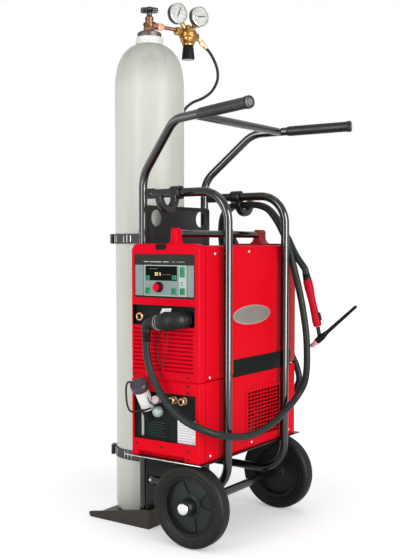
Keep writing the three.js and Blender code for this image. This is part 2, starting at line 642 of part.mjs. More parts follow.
// The regulator is drawn as seen from its gauges: X to the right, -Y towards the eye.
function regulatorBody() {
  const { reach, topZ, radius, bonnetZ, bonnetRadius } = REGULATOR;
  const z = VALVE.outletZ;
  const nutStart = VALVE.outletReach + GAP;
  const nut = rodBetween(vec(nutStart, 0, z), vec(nutStart + 24, 0, z), 12.5, 6);
  const stem = rodBetween(vec(nutStart + 20, 0, z), vec(reach - 20, 0, z), 6.2, 12);
  const inletHex = rodBetween(vec(reach - 52, 0, z - 4), vec(reach - 33, 0, z - 4), 14.5, 6);
  const bell = turned([[0, bonnetZ], [bonnetRadius, bonnetZ], [bonnetRadius, bonnetZ + 8],
    [radius - 5, bonnetZ + 16], [radius - 3, bonnetZ + 24], [radius, bonnetZ + 27], [radius, bonnetZ + 42],
    [radius - 4, bonnetZ + 50], [16, topZ - 4], [12, topZ], [0, topZ]], 20).translate([reach, 0, 0]);
  const stems = Object.values(GAUGE_PLACES).map(({ x, z: gaugeZ, stemX }) => {
    const from = vec(stemX, 0, topZ - 14);
    const towards = vec(x, 0, gaugeZ);
    const end = from.clone().lerp(towards, 1 - (GAUGE.radius + GAP + 0.4) / from.distanceTo(towards));
    return rodBetween(from, end, 6.5, 8);
  });
  const { from, to, radius: pipe, hexRadius } = GAS_OUTLET;
  const [start, end] = [vec(from[0], 0, from[1]), vec(to[0], 0, to[1])];
  const at = (share) => start.clone().lerp(end, share);
  const outlet = [rodBetween(vec(reach, 0, 1600), at(0.25), 10, 8), rodBetween(start, end, pipe, 10),
    rodBetween(at(0.5), at(0.78), hexRadius, 6)];
  const port = rodBetween(vec(reach + 20, 0, 1604), vec(reach + 42, 0, 1606), 8.5, 6);
  return join(nut, stem, inletHex, bell, stems, outlet, port);
}

// A gauge case, open in front, with its dial set back from the rim.
function gaugeCase({ x, z }) {
  const { radius, wall, depth, dialDepth } = GAUGE;
  const half = depth / 2;
  const profile = [[0, -half], [radius - 3, -half], [radius, -half + 3], [radius, half - 3], [radius - 1, half],
    [radius - wall, half], [radius - wall, half - dialDepth], [0, half - dialDepth]];
  return turned(profile, 20).rotate([90, 0, 0]).translate([x, 0, z]);
}

// A pointer on its pivot, turned to its reading: the angle is from +X, as the dial is seen.
function needle({ x, z }, reading) {
  const { needle: length, depth, dialDepth } = GAUGE;
  const back = depth / 2 - dialDepth + GAP;
  const pointer = alongZ(outline([[-7, -1.6], [length, -0.5], [length, 0.5], [-7, 1.6]]), back + 1.6, back + 2.6);
  const pivot = alongZ(disc(3.2, 10), back, back + 3.4);
  return join(pointer, pivot).rotate([0, 0, reading]).rotate([90, 0, 0]).translate([x, 0, z]);
}

// The fluted adjusting knob under the bonnet, wider at its foot.
function regulatorKnob() {
  const { topRadius, bottomRadius, height, flutes, fluteDepth } = KNOB;
  const top = REGULATOR.bonnetZ - GAP;
  const ring = (radius, z) => Array.from({ length: flutes * 2 }, (_, i) => {
    const angle = (Math.PI * i) / flutes;
    const r = radius - (i % 2) * fluteDepth;
    return vec(REGULATOR.reach + r * Math.cos(angle), r * Math.sin(angle), z);
  });
  return loft([ring(bottomRadius - 3, top - height), ring(bottomRadius, top - height + 3),
    ring(bottomRadius - 0.6, top - height + 9), ring(topRadius, top - 5), ring(topRadius - 2.5, top)]);
}

// The gas hose: out of the regulator, over, down behind the cylinder and in at the rear.
const GAS_ROUTE = [
  [76.2, 220.3, 1568.7], [80.5, 233.5, 1558], [86.5, 251, 1535], [92, 266, 1500], [92, 266, 1465],
  [84, 244, 1425], [70, 210, 1398], [52, 170, 1378], [38, 145, 1352], [32, 136, 1312], [30, 134, 1240],
  [30, 134, 1100], [33, 142, 990], [48, 188, 900], [80, 240, 835], [120, 278, 780], [165, 293, 735],
  [198, 293.5, 695], [210, 293, 662], [210, 293, 640.3],
];

// ---------------------------------------------------------------- power source

const bezelOuter = (bottom, top) => roundedRect(CASE.left, caseRight, bottom, top, BEZEL.corner);

// A moulded end frame: a rounded tray with its floor outwards, open towards the case.
function bezelShell(y0, y1, outwards) {
  const { wall, corner } = BEZEL;
  const shell = alongY(bezelOuter(powerBottom, powerTop), y0, y1);
  const inner = roundedRect(CASE.left + wall, caseRight - wall, powerBottom + wall, powerTop - wall, corner - wall);
  const [from, to] = outwards < 0 ? [y0 + wall, y1 + 1] : [y0 - 1, y1 - wall];
  return cut(shell, alongY(inner, from, to));
}

// The moulded lug that carries one end of the top handle, wider at its foot.
function handlePost([y0, y1]) {
  const { x, z } = TOP_HANDLE;
  const { width, foot, top } = HANDLE_POST;
  const [half, low] = [width / 2, powerTop - 3];
  const right = [[foot / 2, low], [foot / 2 - 6, low + 4.5], [half + 5, low + 10], [half + 1, low + 18],
    [half, z - 8], [half, top - 7], [half - 5, top]];
  const side = outline([...right, ...right.map(([w, h]) => [-w, h]).reverse()].map(([w, h]) => [x + w, h]));
  return alongY(side, y0, y1);
}

function frontBezel() {
  const y0 = frontFace;
  const y1 = y0 + BEZEL.depth;
  const shell = bezelShell(y0, y1, -1);
  const p = PANEL;
  const s = SOCKETS;
  const windows = [
    alongY(roundedRect(p.left - GAP, p.right + GAP, p.bottom - GAP, p.top + GAP, 3), y0 - 1, y0 + BEZEL.wall + 1),
    alongY(roundedRect(s.left - GAP, s.right + GAP, s.bottom - GAP, s.top + GAP, 3), y0 - 1, y0 + BEZEL.wall + 1),
    box(238, 280, y0 - 1, y0 + 14, powerTop - 15, powerTop + 1),
  ];
  const pocket = box(234, 284, y0, y0 + 18, powerTop - 19, powerTop - 1);
  return cut(join(shell, pocket, handlePost(HANDLE_POST.front)), windows, louvreSlots(y0), handleBore());
}

const handleBore = () =>
  rodBetween(vec(TOP_HANDLE.x, TOP_HANDLE.front - 4, TOP_HANDLE.z), vec(TOP_HANDLE.x, TOP_HANDLE.rear + 4, TOP_HANDLE.z),
    clearBore(TOP_HANDLE.radius - 6, 16), 16);

// Sloping air slots in rows, with an upright bar between their columns.
function louvreSlots(y0) {
  const { bottom, top, count, slot, left, right, bars } = LOUVRES;
  const pitch = (top - bottom) / count;
  const column = (right - left) / bars;
  const slots = [];
  for (let row = 0; row < count; row++)
    for (let bar = 0; bar < bars; bar++) {
      const z = bottom + (row + 0.5) * pitch;
      const x0 = left + bar * column + 3;
      const slope = outline([[y0 - 1, z - slot / 2 - 1], [y0 + BEZEL.wall + 1, z - slot / 2 + 3],
        [y0 + BEZEL.wall + 1, z + slot / 2 + 3], [y0 - 1, z + slot / 2 - 1]]);
      slots.push(alongX(slope, x0, x0 + column - 6));
    }
  return slots;
}

// The sheet cover round the power source: a tunnel, open at both bezels.
function caseCover() {
  const { left, wall, corner } = CASE;
  const outer = roundedRect(left + 0.5, caseRight - 0.5, powerBottom, coverTop, corner);
  outer.holes.push(roundedRect(left + 0.5 + wall, caseRight - 0.5 - wall, powerBottom + wall, coverTop - wall, corner - wall));
  const y = CASE.rear - BEZEL.depth - GAP;
  const cover = alongY(outer, -y, y);
  const strip = box(caseRight - 1.7, caseRight + 1, -100, y + 1, powerBottom - 1, powerBottom + 51);
  return cut(cover, strip);
}

// The rear end frame, with a fan outlet, a mains switch seat, a gland and the gas inlet.
function rearBezel() {
  const y1 = CASE.rear;
  const shell = bezelShell(y1 - BEZEL.depth, y1, 1);
  const slots = [];
  for (let row = 0; row < 9; row++)
    slots.push(box(180, 366, y1 - BEZEL.wall - 1, y1 + 1, 690 + row * 16, 697 + row * 16));
  const gland = rodBetween(vec(340, y1 - 2, 560), vec(340, y1 + 22, 560), 17, 12);
  const cableHole = rodBetween(vec(340, y1 - 12, 560), vec(340, y1 + 23, 560), 8, 12);
  const { x: inletX, z: inletZ, reach, rise } = GAS_INLET;
  const inlet = rodBetween(vec(inletX, y1 - 2, inletZ), vec(inletX, y1 + reach + 6, inletZ), 7, 10);
  const inletHex = rodBetween(vec(inletX, y1 - 2, inletZ), vec(inletX, y1 + 4, inletZ), 10, 6);
  const riser = rodBetween(vec(inletX, y1 + reach, inletZ), vec(inletX, y1 + reach, inletZ + rise), 5.5, 10);
  const spindleHole = rodBetween(vec(273, y1 - 12, 640), vec(273, y1 + 1, 640), clearBore(5, 12), 12);
  const halfFoot = HANDLE_POST.foot / 2;
  const tongue = box(TOP_HANDLE.x - halfFoot, TOP_HANDLE.x + halfFoot, HANDLE_POST.rear[0], y1 - BEZEL.depth + 4,
    coverTop + GAP, powerTop - 1);
  return cut(join(shell, gland, inlet, inletHex, riser, handlePost(HANDLE_POST.rear), tongue),
    cableHole, slots, spindleHole, handleBore());
}

// The rotary mains switch on the rear end frame.
function mainsSwitch() {
  const y = CASE.rear + GAP;
  const spindle = rodBetween(vec(273, y - 9, 640), vec(273, y + 4, 640), 5, 12);
  const dial = rodBetween(vec(273, y, 640), vec(273, y + 7, 640), 24, 20);
  const wing = box(267, 279, y + 6, y + 22, 617, 663);
  return join(spindle, dial, wing);
}

// A round bar with a spigot in each lug.
function topHandle() {
  const { x, z, radius, front, rear } = TOP_HANDLE;
  const from = HANDLE_POST.front[1] + GAP;
  const to = HANDLE_POST.rear[0] - GAP;
  const bar = turned([[0, from], [radius - 2, from], [radius, from + 4],
    [radius, to - 4], [radius - 2, to], [0, to]], 16)
    .rotate([-90, 0, 0]).translate([x, 0, z]);
  const spigots = rodBetween(vec(x, front, z), vec(x, rear, z), radius - 6, 16);
  return join(bar, spigots);
}

function controlPanel() {
  const { left, right, bottom, top, thickness } = PANEL;
  const y0 = frontFace + 0.5;
  const y1 = y0 + thickness;
  const plate = alongY(roundedRect(left, right, bottom, top, 3), y0, y1);
  const flange = alongY(roundedRect(left - 3, right + 3, bottom - 3, top + 3, 5), frontFace + BEZEL.wall + GAP, y1 + 3);
  const screen = box(LCD.left, LCD.right, y0 - 1, y0 + LCD.depth, LCD.bottom, LCD.top);
  const holes = Object.values(BUTTONS).map(({ x, z, width, height }) =>
    box(x - width / 2 - GAP, x + width / 2 + GAP, y0 - 1, y1 + 10, z - height / 2 - GAP, z + height / 2 + GAP));
  const shaft = rodBetween(vec(DIAL_KNOB.x, y0 - 1, DIAL_KNOB.z), vec(DIAL_KNOB.x, y1 + 10, DIAL_KNOB.z),
    clearBore(DIAL_KNOB.shaft, 12), 12);
  return cut(join(plate, flange), screen, holes, shaft);
}

// A push button: its cap through the panel, and a flange behind that stops it falling out.
function button({ x, z, width, height }) {
  const y0 = frontFace + 0.5 - BUTTON.proud;
  const back = frontFace + BEZEL.wall + GAP + 3.5 + BUTTON.flangeThickness;
  const [a, b] = [width / 2, height / 2];
  const corners = [[-a + 2, -b], [a - 2, -b], [a, -b + 2], [a, b - 2], [a - 2, b], [-a + 2, b], [-a, b - 2], [-a, -b + 2]];
  const cap = alongY(outline(corners.map(([u, v]) => [x + u, z + v])), y0, back + 2.5);
  const w = width / 2 + BUTTON.flange;
  const h = height / 2 + BUTTON.flange;
  return join(cap, box(x - w, x + w, back + 0.8, back + 0.8 + BUTTON.flangeThickness, z - h, z + h));
}

function fluted(radius, flutes, depth) {
  return outline(Array.from({ length: flutes * 2 }, (_, i) => {
    const angle = (Math.PI * i) / flutes;
    const r = radius - (i % 2) * depth;
    return [r * Math.cos(angle), r * Math.sin(angle)];
  }));
}

function controlKnob() {
  const { x, z, radius, height, shaft, flutes } = DIAL_KNOB;
  const back = frontFace + 0.5 - GAP;
  const grip = alongZ(fluted(radius, flutes, 1), 0, height - 3);
  const crown = turned([[0, height - 4], [radius - 1.2, height - 4], [radius - 2.6, height], [0, height]], 28);
  const stem = alongZ(disc(shaft, 12), -12, 1);
  return join(grip, crown, stem).rotate([90, 0, 0]).translate([x, back, z]);
}

// The black recess behind the sockets.
function connectorPanel() {
  const { left, right, bottom, top, recess, thickness } = SOCKETS;
  const y0 = frontFace + 0.5;
  const tub = alongY(roundedRect(left, right, bottom, top, 3), y0, y0 + recess + thickness);
  const hollow = box(left + 2, right - 2, y0 - 1, y0 + recess, bottom + 2, top - 2);
  const s = CURRENT_SOCKET;
  const socketY = y0 + recess;
  const ring = rodBetween(vec(s.x, socketY - s.proud, s.z), vec(s.x, socketY + 1, s.z), s.radius, 16);
  const bore = rodBetween(vec(s.x, socketY - s.proud - 1, s.z), vec(s.x, socketY - 1, s.z), s.bore, 12);
  const torchSeat = rodBetween(vec(PLUG.x, socketY - 3, PLUG.z), vec(PLUG.x, socketY + 1, PLUG.z), 22, 16);
  return cut(join(cut(tub, hollow), ring, torchSeat), bore);
}

// ---------------------------------------------------------------- cooler

function coolerCase() {
  const { left, wall, corner } = CASE;
  const outer = roundedRect(left + 0.5, caseRight - 0.5, COOLER.bottom, coolerTop, 4);
  outer.holes.push(roundedRect(left + 0.5 + wall, caseRight - 0.5 - wall, COOLER.bottom + wall, coolerTop - wall, 2));
  const y0 = CASE.front + BEZEL.depth + GAP;
  const y1 = CASE.rear;
  const back = alongY(roundedRect(left + 0.5, caseRight - 0.5, COOLER.bottom, coolerTop, 4), y1 - wall, y1);
  const g = GRILLE;
  const window = box(caseRight - 10, caseRight + 10, g.from + g.border, g.to - g.border, g.bottom + g.border, g.top - g.border);
  const fanY = (g.from + g.to) / 2;
  const fanZ = (g.bottom + g.top) / 2;
  const motorX = caseRight - FAN.inset - FAN.depth - 8;
  const pedestal = box(motorX - 60, motorX - 30, fanY - 20, fanY + 20, COOLER.bottom + 1, fanZ);
  const motor = rodBetween(vec(motorX - 70, fanY, fanZ), vec(motorX, fanY, fanZ), 26, 16);
  const outletSlots = [];
  for (let row = 0; row < 7; row++)
    outletSlots.push(box(190, 356, y1 - wall - 1, y1 + 1, 300 + row * 20, 309 + row * 20));
  return join(cut(join(alongY(outer, y0, y1), back), window, outletSlots), pedestal, motor);
}

// The perforated sheet over the fan's air inlet.
function coolerGrille() {
  const g = GRILLE;
  const x = caseRight - 0.5 + GAP;
  const sheet = alongX(roundedRect(g.from, g.to, g.bottom, g.top, 4), x, x + g.sheet);
  const columnPitch = (g.to - g.from - 2 * g.border) / g.columns;
  const rowPitch = (g.top - g.bottom - 2 * g.border) / g.rows;
  const holes = [];
  for (let column = 0; column < g.columns; column++)
    for (let row = 0; row < g.rows; row++) {
      const y = g.from + g.border + (column + 0.5) * columnPitch;
      const z = g.bottom + g.border + (row + 0.5) * rowPitch;
      const [w, h] = [g.holeWidth / 2, g.holeHeight / 2];
      holes.push(box(x - 1, x + g.sheet + 1, y - w, y + w, z - h, z + h));
    }
  return cut(sheet, holes);
}

// An axial fan on its motor shaft, behind the perforated sheet.
function coolerFan() {
  const g = GRILLE;
  const [fanY, fanZ] = [(g.from + g.to) / 2, (g.bottom + g.top) / 2];
  const blade = (angle) => {
    const sheet = box(-9, 9, FAN.hubRadius - 3, FAN.radius, -0.9, 0.9);
    return sheet.rotate([0, 32, 0]).translate([0, 0, FAN.depth / 2]).rotate([0, 0, angle]);
  };
  const blades = Array.from({ length: FAN.blades }, (_, i) => blade((360 * i) / FAN.blades));
  const hub = turned([[0, 0], [FAN.hubRadius, 0], [FAN.hubRadius, FAN.depth - 4], [FAN.hubRadius - 4, FAN.depth], [0, FAN.depth]], 16);
  const shaft = alongZ(disc(3, 8), -8 + GAP, 1);
  return join(hub, shaft, blades).rotate([0, 90, 0]).translate([caseRight - FAN.inset - FAN.depth, fanY, fanZ]);
}

function coolerFront() {
  const y0 = CASE.front;
  const y1 = y0 + BEZEL.depth;
  const { left, right, bottom, top } = COOLER_WINDOW;
  const shell = alongY(roundedRect(CASE.left, caseRight, COOLER.bottom, coolerTop, 4), y0, y1);
  const inner = box(CASE.left + 4, caseRight - 4, y0 + 4, y1 + 1, COOLER.bottom + COOLER_SLOT.height + 4, coolerTop - 4);
  const window = alongY(roundedRect(left, right, bottom, top, 4), y0 - 1, y0 + 5);
  const slot = box(COOLER_SLOT.left, COOLER_SLOT.right, y0 - 1, y0 + 20, COOLER.bottom - 1, COOLER.bottom + COOLER_SLOT.height);
  const seams = box(175, 346, y0 - 1, y0 + 3, coolerTop - 3.5, coolerTop + 1);
  return cut(shell, inner, window, slot, seams);
}

function coolerPanel() {
  const y0 = CASE.front + COOLER_PANEL.recess;
  const y1 = y0 + COOLER_PANEL.thickness;
  const plate = box(CASE.left + 4 + GAP, caseRight - 4 - GAP, y0, y1,
    COOLER_WINDOW.bottom - 8, COOLER_WINDOW.top + 10);
  const fittings = COUPLINGS.x.map((x) => join(
    rodBetween(vec(x, y0 - COUPLINGS.reach, COUPLINGS.z), vec(x, y0 + 1, COUPLINGS.z), COUPLINGS.radius - 3, 12),
    rodBetween(vec(x, y0 - 13, COUPLINGS.z), vec(x, y0 + 1, COUPLINGS.z), COUPLINGS.radius, 6),
  ));
  const bulb = turned([[0, 0], [15, 0], [15, 11], [12, 18], [5, 22], [0, 22]], 16)
    .rotate([90, 0, 0]).translate([246, y0 + 1, 397]);
  const ribbed = turned([[0, 0], [12.5, 0], [12.5, 18], [10, 21], [0, 21]], 16)
    .rotate([90, 0, 0]).translate([243, y0 + 1, 434]);
  return join(cut(plate, fillerBore()), fittings, bulb, ribbed);
}

const fillerAxis = () => [vec(FILLER.x, FILLER.y, FILLER.z), vec(FILLER.topX, FILLER.topY, FILLER.topZ)];
const fillerBore = () => {
  const [from, to] = fillerAxis();
  return aim(alongZ(disc(FILLER.radius - 6, 18), -40, from.distanceTo(to) + 5), from, to);
};

// The tilted neck that coolant is poured into: a tube cut flush with the panel behind it.
function fillerNeck() {
  const [from, to] = fillerAxis();
  const length = from.distanceTo(to);
  const { radius } = FILLER;
  const neck = turned([[0, -40], [radius, -40], [radius, length - 14], [radius - 3, length - 14],
    [radius - 3, length], [0, length]], 18);
  const panelFace = CASE.front + COOLER_PANEL.recess - GAP;
  const behind = box(FILLER.x - 60, FILLER.x + 60, panelFace, panelFace + 200, COOLER.bottom, coolerTop + 100);
  return largest(cut(aim(neck, from, to), behind, fillerBore()));
}

function fillerCap() {
  const [from, to] = fillerAxis();
  const { radius, height, ribs } = FILLER_CAP;
  const axis = to.clone().sub(from).normalize();
  const bore = clearBore(FILLER.radius - 3, 18);
  const shell = alongZ(fluted(radius, ribs, 1.3), 0, height - 4);
  const crown = turned([[0, height - 5], [radius - 1.6, height - 5], [radius - 4, height], [0, height]], 36);
  const hollow = alongZ(disc(bore, 18), -1, 14 + GAP);
  return aim(cut(join(shell, crown), hollow), to.clone().addScaledVector(axis, -14 + GAP), to.clone().addScaledVector(axis, 10));
}

// ---------------------------------------------------------------- torch and hose pack

// The plug in its socket, with a moulded boot that turns the hose down.
function torchPlug() {
  const { x, z, radius, boot, left, y, drop } = PLUG;
  const seat = frontFace + 0.5 + SOCKETS.recess - 3 - GAP;
  const body = turned([[0, 0], [radius - 5, 0], [radius - 5, 12], [radius, 16], [radius, 34], [radius - 2, 38], [0, 38]], 18)
    .rotate([90, 0, 0]).translate([x, seat, z]);
  const curve = [vec(x, seat - 20, z), vec(x - 4, y + 12, z), vec(x - 26, y - 2, z), vec(x - 62, y, z),
    vec(left + 24, y, z - 1), vec(left + 5, y, z - 9), vec(left, y, z - 24), vec(left, y, z - drop)];
  return join(body, taperedBar(curve, [23, 24, 24, 22, 19, 17, 15, boot], 12, 14));
}

// The hose pack: from the plug under the front, past the hoops, up over the far hanger,
// one loop behind the case, and back over the hanger to the torch.
const HOSE_ROUTE = [
  [238, -322, 639.7], [238, -322, 607], [239, -321, 570], [250, -320, 527], [269, -320, 490], [296, -320, 454],
  [332, -323, 421], [372, -322, 394], [408, -312, 376], [438, -285, 359], [455, -245, 345], [460, -190, 332],
  [459, -105, 321], [457, -20, 326], [456, 61, 343], [458, 130, 370], [465, 185, 405], [480, 197, 442],
  [488, 197, 486], [489, 197, 540], [486, 197, 600], [477, 197, 660], [464, 197, 725], [445, 197, 796],
  [426, 197, 860], [404, 197, 918], [372, 198, 972], [336, 201, 1009], [290, 204, 1024], [236, 204.6, 1025],
  [190, 208, 1022], [150, 222, 998], [118, 252, 948], [98, 290, 880], [100, 322, 800], [120, 333, 700],
  [155, 334, 590], [200, 334, 480], [245, 333, 400], [300, 332, 366], [355, 330, 378], [388, 329, 425],
  [382, 328, 468], [361, 327, 513], [328, 327, 570], [285, 328, 660], [230, 330, 745], [178, 330, 822],
  [140, 320, 885], [126, 294, 945], [140, 260, 994], [180, 233, 1021], [218, 227.4, 1025], [254, 227.4, 1025],
  [290, 227.4, 1024], [326, 226, 1010], [358, 224, 980], [386, 222.5, 938], [408, 222, 902], [424, 222, 872],
  [441, 222, 845], [456.5, 222, 826], [466.2, 222, 812.5], [470.2, 222, 797],
];

function torchHandle() {
  const ring = vec(...TORCH.ring);
  const end = vec(...TORCH.handleEnd);
  const length = ring.distanceTo(end);
  const relief = vec(...HOSE_ROUTE.at(-1));
  const away = ring.clone().sub(relief).normalize();
  const collar = rodBetween(relief.addScaledVector(away, GAP), ring, 13.5, 12);
  const shape = turned([[0, -3], [13, -3], [14.8, 2], [14.8, length * 0.15], [12.2, length * 0.45],
    [13.2, length * 0.72], [14.2, length * 0.88], [13, length * 0.97], [10, length], [0, length]], 16);
  return cut(join(collar, aim(shape, ring, end)), triggerPad(GAP));
}

function torchHead() {
  const end = vec(...TORCH.handleEnd);
  const head = vec(...TORCH.head);
  const capEnd = vec(...TORCH.capEnd);
  const nozzleEnd = vec(...TORCH.nozzleEnd);
  const along = head.clone().sub(end).normalize();
  const neck = rodBetween(end.clone().addScaledVector(along, 2 * GAP), head, 6.5, 16);
  const capLine = capEnd.clone().sub(nozzleEnd).normalize();
  const block = rodBetween(head.clone().addScaledVector(capLine, -12), head.clone().addScaledVector(capLine, 14), 11, 16);
  const length = head.distanceTo(capEnd);
  const cap = aim(turned([[0, 0], [9, 0], [9, 22], [6.5, 34], [5, length - 4], [3.5, length], [0, length]], 16), head, capEnd);
  const thread = rodBetween(head.clone().addScaledVector(capLine, -20), head, 5, 12);
  return join(neck, block, cap, thread);
}

function torchNozzle() {
  const head = vec(...TORCH.head);
  const tip = vec(...TORCH.nozzleEnd);
  const capLine = vec(...TORCH.capEnd).sub(tip).normalize();
  const seat = head.clone().addScaledVector(capLine, -12 - GAP);
  const length = seat.distanceTo(tip);
  const bore = clearBore(5, 14);
  const shape = turned([[bore, 0], [10, 0], [10, 8], [7.6, 14], [7, length], [4.8, length], [4.8, 12], [bore, 10]], 16);
  return aim(shape, seat, seat.clone().sub(capLine));
}

// The trigger lever, set in a slot of the handle; the slot is the same shape grown all round.
function triggerPad(grow) {
  const ring = vec(...TORCH.ring);
  const end = vec(...TORCH.handleEnd);
  const down = end.clone().sub(ring).normalize();
  const out = vec(-down.z, 0, down.x);
  const middle = ring.clone().lerp(end, 0.8).addScaledVector(out, TORCH.trigger);
  const depth = grow > 0 ? 8.2 : 6; // the slot leaves room for the lever's travel
  const pad = alongZ(roundedRect(-depth - grow, 4 + grow, -5.5 - grow, 5.5 + grow, 1.5), -13 - grow, 13 + grow);
  const basis = new THREE.Matrix4().makeBasis(out, vec(0, 1, 0), out.clone().cross(vec(0, 1, 0)));
  basis.setPosition(middle);
  return pad.transform(basis.elements);
}

// ---------------------------------------------------------------- assembly

add("base_shoe", baseShoe(), FINISH.frame);
addPair("post", post(), FINISH.frame);
addPair("hoop", hoop(), FINISH.frame);
add("handle_crossbar", crossbar(), FINISH.frame);
addPair("grip", grip(), FINISH.grip);
add("back_plate", backPlate(), FINISH.frame);
add("tray", tray(), FINISH.frame);
add("axle_tube", axleTube(), FINISH.frame);
add("axle_rod", axleRod(), FINISH.chrome);
addPair("tyre", tyre(), FINISH.rubber);
addPair("rim", rim(), FINISH.blackPlastic);
add("strap_upper", strap(STRAPS.upper), FINISH.rubber);
add("strap_lower", strap(STRAPS.lower), FINISH.rubber);
add("buckle_upper", buckle(STRAPS.upper), FINISH.blackPlastic);
add("buckle_lower", buckle(STRAPS.lower), FINISH.blackPlastic);
addPair("hanger", hanger(), FINISH.blackPlastic);

add("gas_cylinder", gasCylinder(), FINISH.cylinder);
const regulatorGroup = new THREE.Group();
regulatorGroup.rotation.z = REGULATOR_TURN;
root.add(regulatorGroup);
add("valve_body", valveBody(), FINISH.bronze, regulatorGroup);
add("valve_handwheel", handwheel(), FINISH.blackPlastic, regulatorGroup);
add("regulator_body", regulatorBody(), FINISH.brass, regulatorGroup);
add("gauge_cylinder", gaugeCase(GAUGE_PLACES.cylinder), FINISH.blackPlastic, regulatorGroup);
add("gauge_outlet", gaugeCase(GAUGE_PLACES.outlet), FINISH.blackPlastic, regulatorGroup);
add("needle_cylinder", needle(GAUGE_PLACES.cylinder, 68), FINISH.blackPlastic, regulatorGroup);
add("needle_outlet", needle(GAUGE_PLACES.outlet, 10), FINISH.blackPlastic, regulatorGroup);
add("regulator_knob", regulatorKnob(), FINISH.blackPlastic, regulatorGroup);
add("gas_hose", hoseAlong(GAS_ROUTE, GAS_HOSE), FINISH.hose);

add("case_cover", caseCover(), FINISH.redSheet);
add("front_bezel", frontBezel(), FINISH.redPlastic);
add("rear_bezel", rearBezel(), FINISH.redPlastic);
add("control_panel", controlPanel(), FINISH.panel);
add("control_knob", controlKnob(), FINISH.redPlastic);
for (const [name, place] of Object.entries(BUTTONS)) add(`button_${name}`, button(place), FINISH.green);
add("top_handle", topHandle(), FINISH.blackPlastic);
add("connector_panel", connectorPanel(), FINISH.blackPlastic);
add("mains_switch", mainsSwitch(), FINISH.blackPlastic);

add("cooler_case", coolerCase(), FINISH.redSheet);
add("cooler_front", coolerFront(), FINISH.redSheet);
add("cooler_panel", coolerPanel(), FINISH.blackPlastic);
add("filler_neck", fillerNeck(), FINISH.white);
add("filler_cap", fillerCap(), FINISH.blackPlastic);
add("cooler_grille", coolerGrille(), FINISH.redSheet);
add("cooler_fan", coolerFan(), FINISH.blackPlastic);

add("torch_plug", torchPlug(), FINISH.rubber);
add("hose_pack", hoseAlong(HOSE_ROUTE, HOSE), FINISH.hose);
add("torch_handle", torchHandle(), FINISH.redPlastic);
add("torch_head", torchHead(), FINISH.blackPlastic);
add("nozzle", torchNozzle(), FINISH.ceramic);
add("torch_trigger", triggerPad(0), FINISH.blackPlastic);

export default root;
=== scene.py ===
# %% [markdown]
# # A welding set on its trolley
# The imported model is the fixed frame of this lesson: every piece that is made here goes where
# that model says, in metres, with the origin on the floor under the gas cylinder. The model's
# bodies move at its joints, so each new piece names the body that it rides on.

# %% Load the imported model
import math

import bpy
from mathutils import Matrix, Vector


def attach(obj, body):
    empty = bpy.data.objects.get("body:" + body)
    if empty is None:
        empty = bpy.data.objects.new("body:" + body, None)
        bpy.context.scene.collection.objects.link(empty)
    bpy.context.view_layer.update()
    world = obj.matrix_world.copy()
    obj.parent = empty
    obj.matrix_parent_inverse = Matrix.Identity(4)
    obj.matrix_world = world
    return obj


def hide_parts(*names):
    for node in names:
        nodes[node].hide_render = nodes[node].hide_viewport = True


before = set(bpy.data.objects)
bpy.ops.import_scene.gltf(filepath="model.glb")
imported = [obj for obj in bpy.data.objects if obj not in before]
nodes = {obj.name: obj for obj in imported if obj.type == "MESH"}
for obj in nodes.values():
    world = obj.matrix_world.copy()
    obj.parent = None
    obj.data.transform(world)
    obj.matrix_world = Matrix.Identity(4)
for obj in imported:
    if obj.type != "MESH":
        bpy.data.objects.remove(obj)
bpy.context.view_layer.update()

# %% [markdown]
# ## The camera
# A camera is matched to a photograph by its place, its direction and its focal length. It could
# be set by eye, but here it comes from lengths that are known on the real object: the wheels,
# the cylinder and the width of the power source all have to land where the photograph has them.
# The long side of the picture is its height, so the sensor's 36 mm lie along that side.

# %% Set up the camera
camera_data = bpy.data.cameras.new("camera")
camera = bpy.data.objects.new("camera", camera_data)
bpy.context.scene.collection.objects.link(camera)
camera.location = (1.86604, -2.37608, 0.89811)
camera.rotation_euler = (math.radians(90 - 3.24), 0, math.radians(34.97))
camera_data.sensor_width = 36
camera_data.lens = 57.94
camera_data.shift_y = 0.0253
camera_data.clip_end = 60
bpy.context.scene.camera = camera
print("camera:", camera_data.lens, "mm lens at", [round(v, 2) for v in camera.location])

# %% [markdown]
# ## Working by hand, in code
# Each step of modelling is an operator, as it is at a desk: one object is picked, changed and
# put down. These helpers pick an object, open it for editing with all of it selected, and hand
# over the finished piece with its finish and the body that it rides on. Sizes are written in
# millimetres.

# %% Helpers to pick, select and hand over
MM = 0.001


def mm(*values):
    return Vector(values) * MM


def deselect():
    if bpy.context.object and bpy.context.object.mode != "OBJECT":
        bpy.ops.object.mode_set(mode="OBJECT")
    bpy.ops.object.select_all(action="DESELECT")


def pick(piece):
    deselect()
    piece.select_set(True)
    bpy.context.view_layer.objects.active = piece
    return piece


def edit(piece):
    pick(piece)
    bpy.ops.object.mode_set(mode="EDIT")
    bpy.ops.mesh.select_mode(type="FACE")
    bpy.ops.mesh.select_all(action="SELECT")


def object_mode():
    bpy.ops.object.mode_set(mode="OBJECT")


def clean(piece, distance=1e-6):
    edit(piece)
    bpy.ops.mesh.remove_doubles(threshold=distance)
    bpy.ops.mesh.normals_make_consistent(inside=False)
    object_mode()
    return piece


def apply_modifiers(piece):
    pick(piece)
    for modifier in list(piece.modifiers):
        bpy.ops.object.modifier_apply(modifier=modifier.name)
    return piece


def fuse(*pieces):
    pick(pieces[0])
    for piece in pieces:
        piece.select_set(True)
    bpy.ops.object.join()
    return bpy.context.object


def settle(piece):
    pick(piece)
    bpy.ops.object.transform_apply(location=True, rotation=True, scale=True)
    return piece


